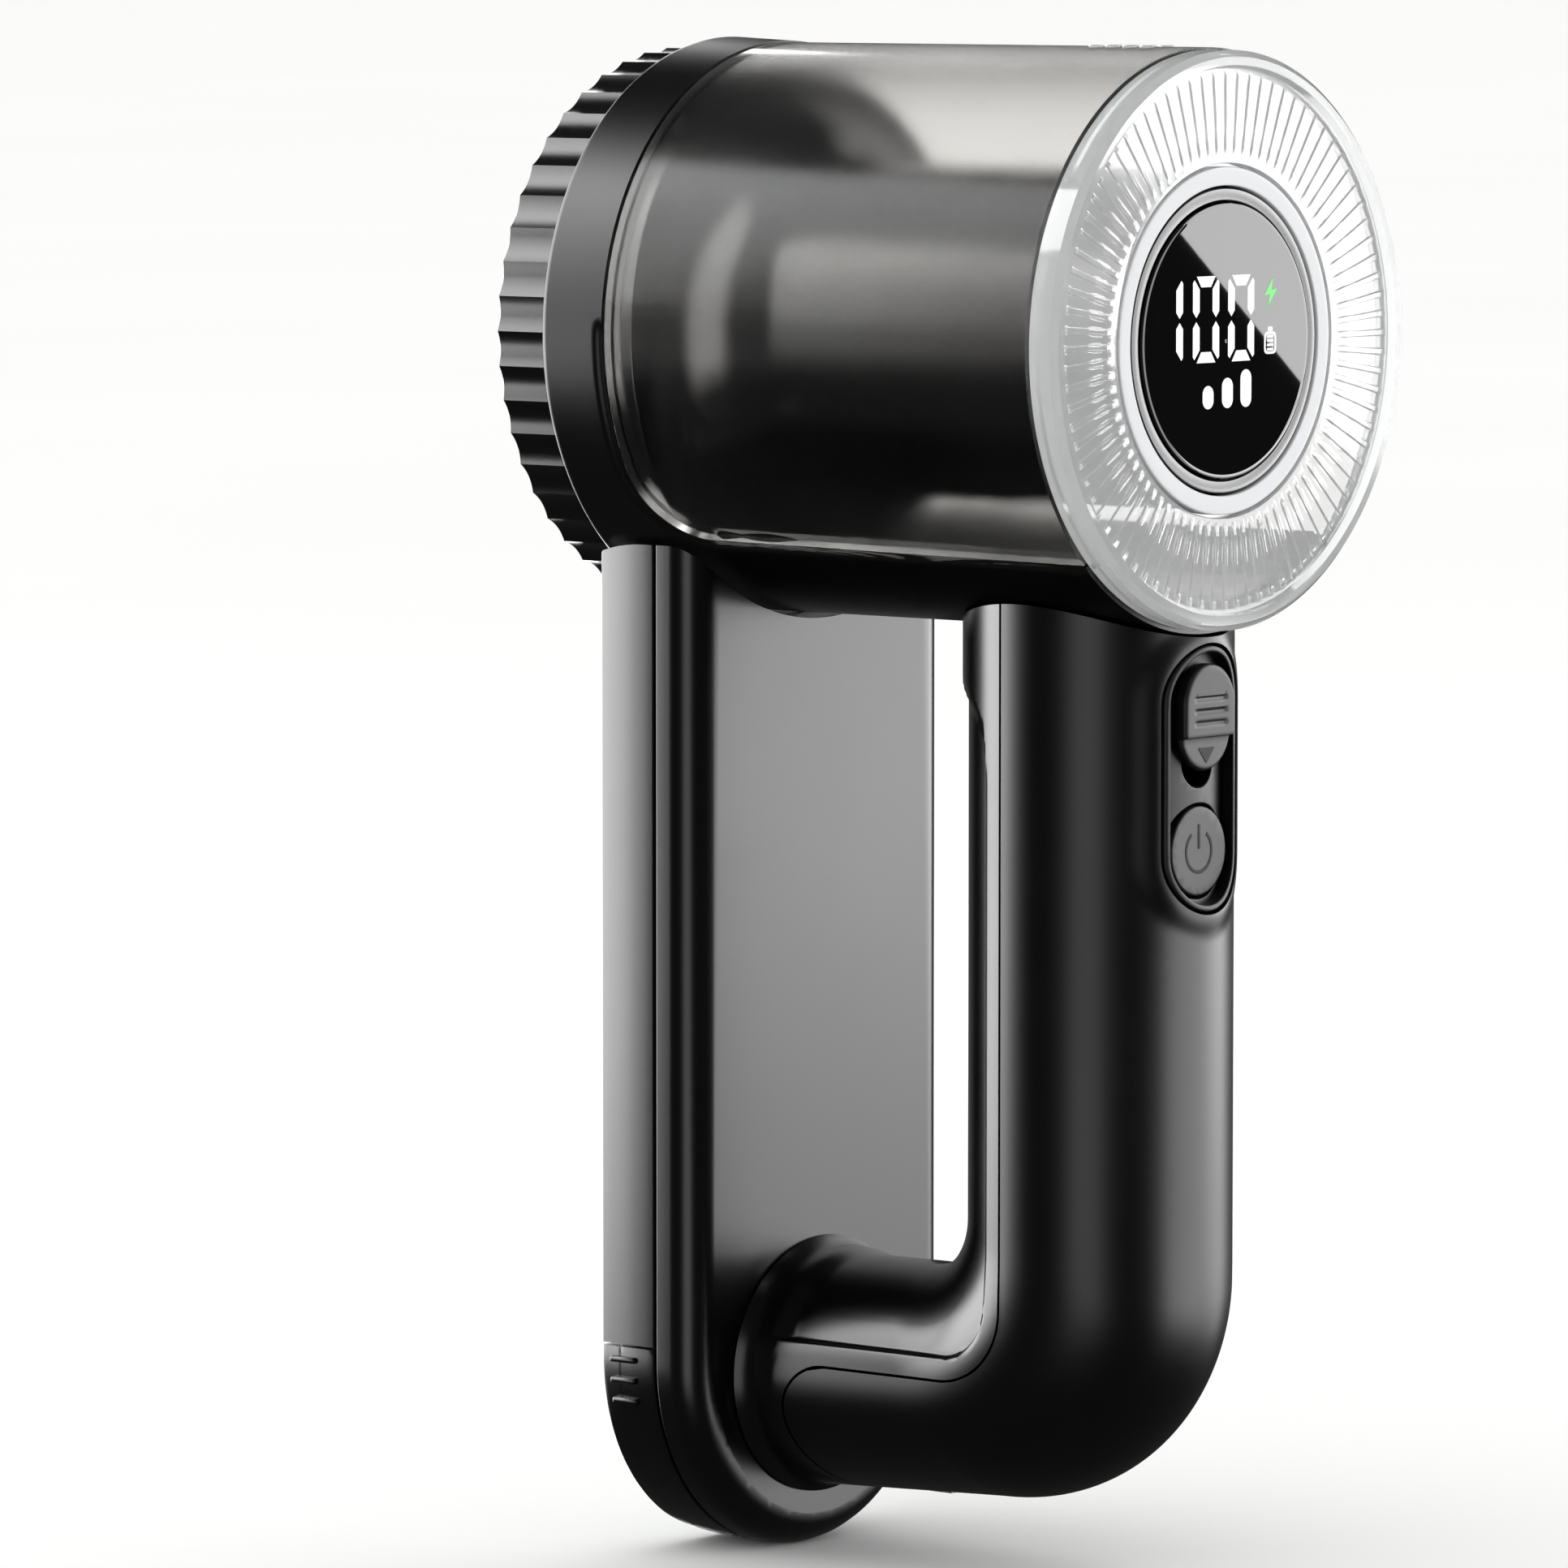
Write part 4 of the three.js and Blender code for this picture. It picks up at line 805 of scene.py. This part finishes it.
# Middle of the section and half its depth, both in X and Z, at t along the loop: 0-1 upright, 1-2 round the corner,
# 2-3 along the arm.
def section(t, spec):
    t = np.asarray(t, float)
    up, bend, arm = np.clip(t, 0, 1), np.clip(t - 1, 0, 1), np.clip(t - 2, 0, 1)
    half = spec["half"]
    tilt = (spec["outerZ"] - spec["innerZ"]) / 2 * smooth(up, 0.5, 1)
    height = spec["top"] + ((spec["outerZ"] + spec["innerZ"]) / 2 - spec["top"]) * up
    angle = -bend * np.pi / 2
    outerX = np.where(t < 1, spec["centre"] + half, spec["outerX"] + spec["outerR"] * np.cos(angle))
    outerZ = np.where(t < 1, height + tilt, spec["outerZ"] + spec["outerR"] * np.sin(angle))
    innerX = np.where(t < 1, spec["centre"] - half, spec["innerX"] + spec["innerR"] * np.cos(angle))
    innerZ = np.where(t < 1, height - tilt, spec["innerZ"] + spec["innerR"] * np.sin(angle))
    outerX = np.where(t > 2, spec["outerX"] + (spec["armEnd"] - spec["outerX"]) * arm, outerX)
    outerZ = np.where(t > 2, spec["outerZ"] - spec["outerR"] - spec["armDrop"] * arm, outerZ)
    innerX = np.where(t > 2, spec["innerX"] + (spec["armEnd"] - spec["innerX"]) * arm, innerX)
    return (outerX + innerX) / 2, (outerZ + innerZ) / 2, (outerX - innerX) / 2, (outerZ - innerZ) / 2


# A point of the loop: an ellipse round the section's middle, 0 at the outer side, grown by grow all round.
def gripPoint(t, a, spec, grow=0.0):
    cx, cz, wx, wz = section(t, spec)
    scale = 1 + grow / np.hypot(wx, wz)
    x = cx + wx * scale * np.cos(a)
    y = (spec["half"] + grow) * np.sin(a)
    z = cz + wz * scale * np.cos(a)
    return np.stack(np.broadcast_arrays(x, y, z), -1)


# How far a point of the side view lies on the shell's side of the seam.
def seamSide(x, z, spec):
    cx, cz = spec["x"] - spec["corner"], spec["z"] + spec["corner"]
    upright = x - spec["x"]
    bend = np.hypot(x - cx, z - cz) - spec["corner"]
    arm = spec["z"] - z
    return np.where(z >= cz, upright, np.where(x >= cx, bend, arm))


# The section's angle at which the side view reaches offset from the seam, searched from the outer side.
def seamAngle(t, offset):
    t = np.atleast_1d(t)
    a = np.linspace(0, np.pi, 900)
    p = gripPoint(t[:, None], a[None], gripSpec)
    side = seamSide(p[..., 0], p[..., 2], seamSpec) - offset
    first = np.argmax(side < 0, 1)
    rows = np.arange(len(t))
    s0, s1 = side[rows, first - 1], side[rows, first]
    return a[first - 1] + (a[first] - a[first - 1]) * s0 / (s0 - s1)


# Where the shell ends along the arm at height z, moved towards the paddle by offset: a round corner under the seam,
# then a gentle curve back towards the bottom.
def endX(z, spec, offset=0.0):
    radius = spec["endCorner"] + offset
    cx, cz = spec["endX"] + spec["endCorner"], spec["z"] - spec["endCorner"]
    upper = cx - np.sqrt(np.clip(radius ** 2 - (z - cz) ** 2, 0, None))
    fall = np.clip((cz - z) / (cz - spec["lowZ"]), 0, 1)
    lower = spec["endX"] - offset + spec["endCorner"] * fall ** 2
    return np.where(z > cz, upper, lower)


# For each angle column, the t on the arm at which the loop meets the shell's end.
def endOfColumn(angleOf, offset):
    t = np.linspace(2, 3, 400)
    a = angleOf(t)
    p = gripPoint(t[:, None], a, gripSpec)
    beyond = p[..., 0] - endX(p[..., 2], seamSpec, offset)
    first = np.argmax(beyond < 0, 0)
    columns = np.arange(a.shape[1])
    b0, b1 = beyond[first - 1, columns], beyond[first, columns]
    return t[first - 1] + (t[first] - t[first - 1]) * b0 / (b0 - b1)


# The t at which the upright part meets the barrel above it.
def topOfColumn(a):
    height = -np.sqrt(gripSpec["barrel"] ** 2 - (gripSpec["half"] * np.sin(a)) ** 2)
    _, bottom, _, _ = section(1.0, gripSpec)
    return (height - gripSpec["top"]) / (float(bottom) - gripSpec["top"])


def capsuleDistance(y, z, half, bottom, top):
    return np.hypot(y, z - np.clip(z, bottom + half, top - half)) - half


# A soft cushion of material swells round the button plate and dies away from it.
def swollen(points):
    y, z = points[..., 1], points[..., 2]
    away = capsuleDistance(y, z, plateSpec["half"] + gap, plateSpec["bottom"] - gap, plateSpec["top"] + gap)
    rise = plateSpec["pillow"] * (1 - smooth(away, 0.2, plateSpec["pillowWidth"]))
    rise = np.where(points[..., 0] > gripSpec["centre"], rise, 0)
    out = points.copy()
    radial = np.stack([points[..., 0] - gripSpec["centre"], y], -1)
    radial /= np.maximum(np.linalg.norm(radial, axis=-1, keepdims=True), 1e-6)
    out[..., :2] += radial * rise[..., None]
    return out


# The plate's opening: rings of points run from a border of the shell's grid in to the capsule outline.
def openingPatch(border, rings=16):
    half, bottom, top = plateSpec["half"] + gap, plateSpec["bottom"] - gap, plateSpec["top"] + gap
    y, z = border[:, 1], border[:, 2]
    spine = np.clip(z, bottom + half, top - half)
    way = np.stack([y, z - spine], 1)
    way /= np.linalg.norm(way, axis=1, keepdims=True)
    inner = np.stack([way[:, 0] * half, spine + way[:, 1] * half], 1)
    f = np.linspace(0, 1, rings)[:, None, None] ** 1.5
    flat = inner[None] * (1 - f) + np.stack([y, z], 1)[None] * f
    x = gripSpec["centre"] + np.sqrt(gripSpec["half"] ** 2 - flat[..., 0] ** 2)
    points = np.concatenate([x[..., None], flat], 2)
    points[-1] = border
    return points


def buildShell():
    share = np.linspace(-1, 1, 97)
    angleOf = lambda t: seamAngle(t, 0)[:, None] * share[None]
    end = endOfColumn(angleOf, 0)
    start = topOfColumn(seamAngle([0.1], 0)[0] * share)
    s = np.concatenate([np.linspace(0, 0.34, 52), np.linspace(0.36, 0.8, 64), np.linspace(0.805, 1, 44)])
    t = start[None] + s[:, None] * (end - start)[None]
    seam = np.array([seamAngle(row, 0) for row in t])
    base = gripPoint(t, seam * share[None], gripSpec)
    half = base.shape[1] // 2
    y = base[:50, :, 1]
    columns = np.where(np.abs(y[0]) < 12.4)[0]
    j0, j1 = columns[0], columns[-1]
    i1 = int(np.argmax(base[:, half, 2] < plateSpec["bottom"] - 5))
    faces = gridFaces(*base.shape[:2]).reshape(base.shape[0] - 1, base.shape[1] - 1, 4)
    keep = np.ones(faces.shape[:2], bool)
    keep[:i1, j0:j1] = False
    border = np.concatenate([base[0, j0:j1], base[:i1, j1], base[i1, j1:j0:-1], base[i1::-1, j0]])
    ring = openingPatch(border)
    patches = [(swollen(base).reshape(-1, 3), faces[keep]), gridPatch(swollen(ring))]
    return makePiece("gripShell", patches, finish["black_shell"], "housing", ["grip_outer_shell"],
                     thickness=gripSpec["wall"], bevel=0.16)


# How far the finger side is set back: nothing in the band beside the seam and at the grip's top, full elsewhere.
def fingerDepth(points):
    x, z = points[..., 0], points[..., 2]
    beside = seamSpec["fold"] - seamSide(x, z, seamSpec)
    topLine = np.interp(x, [50, 53.5, 59.4, 61.3, 61.7], [-40.8, -41.7, -45, -47.7, -52.4])
    below = (topLine - z) * 0.6
    ends = smooth(x, 27.5, 31)
    return 0.75 * smooth(np.minimum(beside, below), 0, 0.8) * ends


def trimPatch(t, a):
    points = gripPoint(t, a, gripSpec)
    depth = fingerDepth(points)
    flare = 1.1 * np.clip(1 - (points[..., 0] - gripSpec["armEnd"]) / 2.8, 0, 1) ** 2
    return gripPoint(t, a, gripSpec, flare - depth)


def buildTrim():
    near = np.linspace(0, 0.16, 30)
    share = np.concatenate([near, np.linspace(0.18, 0.82, 44), 1 - near[::-1]])
    join = float(endOfColumn(lambda t: seamAngle(t, -gap)[:, None], gap)[0])
    firstAngle = float(seamAngle([0.1], -gap)[0])
    start = topOfColumn(firstAngle + (2 * np.pi - 2 * firstAngle) * share)
    s = np.concatenate([np.linspace(0, 0.3, 60), np.linspace(0.305, 0.75, 80), np.linspace(0.76, 1, 40)])
    t = start[None] + s[:, None] * (join - start)[None]
    low = np.array([seamAngle(row, -gap) for row in t])
    a = low + (2 * np.pi - 2 * low) * share[None]
    main = trimPatch(t, a)
    joinLow = float(low[-1, 0])
    over = -joinLow + 2 * joinLow * (1 - np.cos(np.linspace(0, np.pi, 72))) / 2
    angles = np.concatenate([a[-1], over[1:] + 2 * np.pi])
    underEnd = endOfColumn(lambda t: np.broadcast_to(over[None], (len(t), len(over))), gap)
    begin = np.concatenate([t[-1], underEnd[1:]])
    begin[len(share):][underEnd[1:] < 2.001] = join
    begin[-1] = t[-1, 0]
    rows = np.concatenate([np.linspace(0, 0.6, 16), np.linspace(0.64, 1, 18)])
    tt = begin[None] + rows[:, None] * (3 - begin)[None]
    collar = trimPatch(tt, np.broadcast_to(angles, tt.shape))
    return makePiece("innerTrim", [gridPatch(main), gridPatch(collar)], finish["black_trim"], "housing",
                     ["inner_trim"], thickness=gripSpec["wall"], bevel=0.14)


buildShell()
buildTrim()
print("grip ready")

buttonSpec = {"height": -62.0, "radius": 5.5, "face": 82.25, "base": 80.4}
latchSpec = {"half": 5.05, "bottom": -52.2, "top": -39.1, "face": 84.1, "base": 82.6, "step": -48, "drop": 0.8,
             "ribTop": -43.3, "ribPitch": 1.5, "ribDepth": 0.28, "ribHalf": 3.1}


# The plate's face follows a cylinder round the grip's axis; x is the depth below its rim.
def onFace(radius):
    def lift(points):
        out = points.copy()
        out[:, 0] = points[:, 0] + gripSpec["centre"] + np.sqrt(radius ** 2 - points[:, 1] ** 2)
        return out
    return lift


def buildPlate(spec):
    outline = capsuleLoop(spec["half"], spec["bottom"], spec["top"])
    inner = capsuleLoop(spec["half"] - spec["rim"], spec["bottom"] + spec["rim"], spec["top"] - spec["rim"])
    button = arc(0, buttonSpec["height"], buttonSpec["radius"] + gap, 0, 354, 60)
    slot = capsuleLoop(3, -54.3, -40.2)
    rim = prism([solidSide(outline), holeSide(inner)], edgeRows(-2.2, 0, 0.05, 0.3), 1.2, onFace(spec["rimRadius"]))
    wide = capsuleLoop(spec["half"] - 0.3, spec["bottom"] + 0.3, spec["top"] - 0.3)
    face = prism([solidSide(wide), holeSide(button), holeSide(slot)], edgeRows(-1.6, 0, 0.05, 0.18), 1.0,
                 onFace(spec["faceRadius"]))
    return makePiece("buttonPlate", rim + face, buttonFinish, "housing", ["button_plate"],
                     sharp=34)


# Rows across the slider run from edge to edge of its outline; the face steps down below the thumb rest.
def buildLatch(spec):
    half, bottom, top = spec["half"], spec["bottom"], spec["top"]
    bend = (1 - np.cos(np.linspace(0, np.pi / 2, 14)))
    zs = np.concatenate([bottom + half * bend, [-46.9], spec["step"] + np.array([-0.9, -0.1, 0.05, 0.5])])
    zs = np.unique(np.clip(np.concatenate([zs, top - half * bend, np.linspace(-47, -43, 21)]), bottom, top))
    chord = np.sqrt(np.clip(half ** 2 - (zs - np.clip(zs, bottom + half, top - half)) ** 2, 0, None))
    around = np.linspace(-1, 1, 41)
    y = chord[:, None] * np.sin(around * np.pi / 2)
    z = np.broadcast_to(zs[:, None], y.shape)
    edge = np.minimum(-capsuleDistance(y, z, half, bottom, top), 0.6)
    rounding = 0.6 - np.sqrt(np.clip(0.36 - (0.6 - edge) ** 2, 0, None))
    drop = spec["drop"] * smooth(spec["step"] - z, -0.1, 0.15)
    ribs = spec["ribDepth"] * np.clip(np.cos((z - spec["ribTop"]) * 2 * np.pi / spec["ribPitch"]), 0, 1)
    ribs = ribs * ((z > -47.1) & (z < -42.9)) * (np.abs(y) < spec["ribHalf"])
    face = np.stack([spec["face"] - drop - rounding - ribs, y, z], 2)
    back = np.stack([np.full(y.shape, spec["base"]), y, z], 2)
    patches = [gridPatch(face), gridPatch(back)]
    patches += [gridPatch(np.stack([face[:, j], back[:, j]], 1)) for j in (0, -1)]
    patches += [gridPatch(np.stack([face[i], back[i]], 1)) for i in (0, -1)]
    makePiece("latchSlider", patches, buttonFinish, "latch", ["latch_slider"], sharp=40)
    # The arrow is a thin piece in the darker black, standing just proud of the stepped face: painted shade of an
    # engraved groove.
    level = spec["face"] - spec["drop"]
    arrow = roundedLoop([(-1.7, -49.3), (1.7, -49.3), (0, -51.3)], 0.25)
    makePiece("latchArrow", prism([solidSide(arrow)], edgeRows(level - 0.2, level + 0.06, 0.02, 0.05)),
              markPaintedShade, "latch")


def buildButton(spec):
    disc = solidSide(arc(0, spec["height"], spec["radius"], 0, 355, 72))
    patches = prism([disc], edgeRows(spec["base"], spec["face"], 0.1, 0.35), 1.2)
    makePiece("powerButton", patches, buttonFinish, "power", ["power_button"], sharp=34)
    # The power sign is a thin piece in the darker black, standing just proud of the face: painted shade of the
    # engraved grooves.
    rows = edgeRows(spec["face"] - 0.2, spec["face"] + 0.05, 0.02, 0.04)
    outer = arc(0, spec["height"], 2.75, 125, 415, 60)
    inner = arc(0, spec["height"], 2.3, 415, 125, 60)
    mark = prism([solidSide(np.vstack([outer, inner]))], rows)
    mark += prism([solidSide(boxLoop(-0.24, 0.24, spec["height"] + 0.3, spec["height"] + 3.3, 0.1))], rows)
    makePiece("powerMark", mark, markPaintedShade, "power")


buildPlate(plateSpec)
buildLatch(latchSpec)
buildButton(buttonSpec)
print("controls ready")


# ---------------------------------------------------------------- camera, floor and light
cameraSpec = {"azimuth": -50.5, "elevation": 5, "distance": 1.3, "aim": (0.0021, 0.0181, -0.0595), "lens": 233.85}


# Metres and degrees: the camera stands at a distance from the point it aims at, level from side to side.
def buildCamera(spec):
    azimuth, elevation = math.radians(spec["azimuth"]), math.radians(spec["elevation"])
    right = Vector((-math.sin(azimuth), math.cos(azimuth), 0))
    back = Vector((math.cos(azimuth) * math.cos(elevation), math.sin(azimuth) * math.cos(elevation),
                   math.sin(elevation)))
    data = bpy.data.cameras.new("camera")
    data.lens = spec["lens"]
    data.sensor_width = 36
    data.clip_end = 200
    camera = bpy.data.objects.new("camera", data)
    turn = Matrix((right, back.cross(right), back)).transposed().to_4x4()
    camera.matrix_world = Matrix.Translation(Vector(spec["aim"]) + back * spec["distance"]) @ turn
    bpy.context.scene.collection.objects.link(camera)
    bpy.context.scene.camera = camera


def stageMesh(name, verts, faces, material):
    mesh = bpy.data.meshes.new(name)
    mesh.from_pydata([tuple(v) for v in verts], [], faces)
    mesh.materials.append(material)
    o = bpy.data.objects.new(name, mesh)
    bpy.context.scene.collection.objects.link(o)
    return o


def buildFloor():
    material, tree = newMaterial("palePaper")
    noise = noiseAt(tree, 400, 2)
    rough = spread(tree, noise, 0.85, 0.95)
    settings = {"Base Color": linear("#f4f4f3")}
    shader = addNode(tree, "ShaderNodeBsdfPrincipled", settings, {"Roughness": (rough, 0)})
    finishMaterial(tree, shader)
    reach, low = 60, cadLow[2]
    corners = [(-reach, -reach, low), (reach, -reach, low), (reach, reach, low), (-reach, reach, low)]
    floor = stageMesh("floor", corners, [(0, 1, 2, 3)], material)
    floor.visible_glossy = False
    floor.visible_transmission = False


def glow(name, strength):
    material, tree = newMaterial(name)
    shader = addNode(tree, "ShaderNodeEmission", {"Strength": strength})
    finishMaterial(tree, shader)
    return material


# A soft light that fills a range of directions round the object: azimuth from +X towards +Y, and elevation.
def panel(name, azimuths, elevations, strength, distance=0.9):
    az = np.radians(np.linspace(*azimuths, 9))
    el = np.radians(np.linspace(*elevations, 5))
    e, a = np.meshgrid(el, az)
    verts = distance * np.stack([np.cos(a) * np.cos(e), np.sin(a) * np.cos(e), np.sin(e)], 2).reshape(-1, 3)
    return hideFromCamera(stageMesh(name, verts, gridFaces(9, 5).tolist(), glow(name, strength)))


# A flat light across the direction given by its azimuth, with corners in metres to its left and up.
def flatPanel(name, azimuth, corners, strength, distance=0.9):
    a = math.radians(azimuth)
    out, left = Vector((math.cos(a), math.sin(a), 0)), Vector((-math.sin(a), math.cos(a), 0))
    verts = [out * distance + left * h + Vector((0, 0, v)) for h, v in corners]
    return hideFromCamera(stageMesh(name, verts, [tuple(range(len(verts)))], glow(name, strength)))


# The panels only show as reflections: the sky alone lights diffusely.
def hideFromCamera(o):
    o.visible_camera = False
    o.visible_diffuse = False
    o.visible_transmission = False
    return o


# A light that is only seen through the clear parts, so that it shows on what lies inside them.
def insideOnly(o):
    o.visible_glossy = False
    o.visible_transmission = True


def buildLights():
    flatPanel("keyUpper", 50.5, [(-0.29, 0.7), (-0.29, 0.294), (0.02, -0.088), (0.5, -0.088), (0.5, 0.7)], 7.5)
    flatPanel("keyMiddle", 50.5, [(-0.1, -0.095), (-0.1, -0.17), (0.5, -0.17), (0.5, -0.095)], 10)
    flatPanel("keyLower", 50.5, [(-0.1, -0.17), (-0.1, -0.42), (0.5, -0.42), (0.5, -0.17)], 3)
    panel("keySide", (6, 43), (-26, 8), 4.4)
    panel("leftFront", (-160, -131), (-16, 6), 12)
    panel("leftUpper", (-172, -128), (8, 48), 9)
    panel("cameraSide", (-72, -46), (-28, 14), 1.8)
    panel("leftBack", (132, 200), (-28, 26), 7)
    insideOnly(panel("behindBin", (60, 170), (-13, 36), 1.4, 0.5))
    insideOnly(panel("cowlHigh", (192, 236), (4, 46), 6, 0.6))
    insideOnly(panel("cowlLow", (200, 238), (-12, 4), 2.2, 0.6))
    insideOnly(panel("flareSide", (-66, -28), (-20, 62), 5, 0.6))


# Bright where it lights diffusely, and dim where it is mirrored or seen through clear parts.
def buildWorld():
    world = bpy.data.worlds.new("studio")
    bpy.context.scene.world = world
    world.use_nodes = True
    tree = world.node_tree
    tree.nodes.clear()
    path = addNode(tree, "ShaderNodeLightPath")
    bright = addNode(tree, "ShaderNodeBackground", {"Color": (1, 1, 1, 1), "Strength": 1.18})
    dim = addNode(tree, "ShaderNodeBackground", {"Color": (1, 1, 1, 1), "Strength": 0.05})
    links = {0: (path, "Is Glossy Ray"), 1: (path, "Is Transmission Ray")}
    mirrored = addNode(tree, "ShaderNodeMath", {"operation": "ADD", "use_clamp": True}, links)
    mixed = addNode(tree, "ShaderNodeMixShader", links={0: (mirrored, 0), 1: (bright, 0), 2: (dim, 0)})
    addNode(tree, "ShaderNodeOutputWorld", links={"Surface": (mixed, 0)})
    bpy.context.scene.view_settings.view_transform = "Standard"


buildCamera(cameraSpec)
buildFloor()
buildLights()
buildWorld()
print("stage ready")
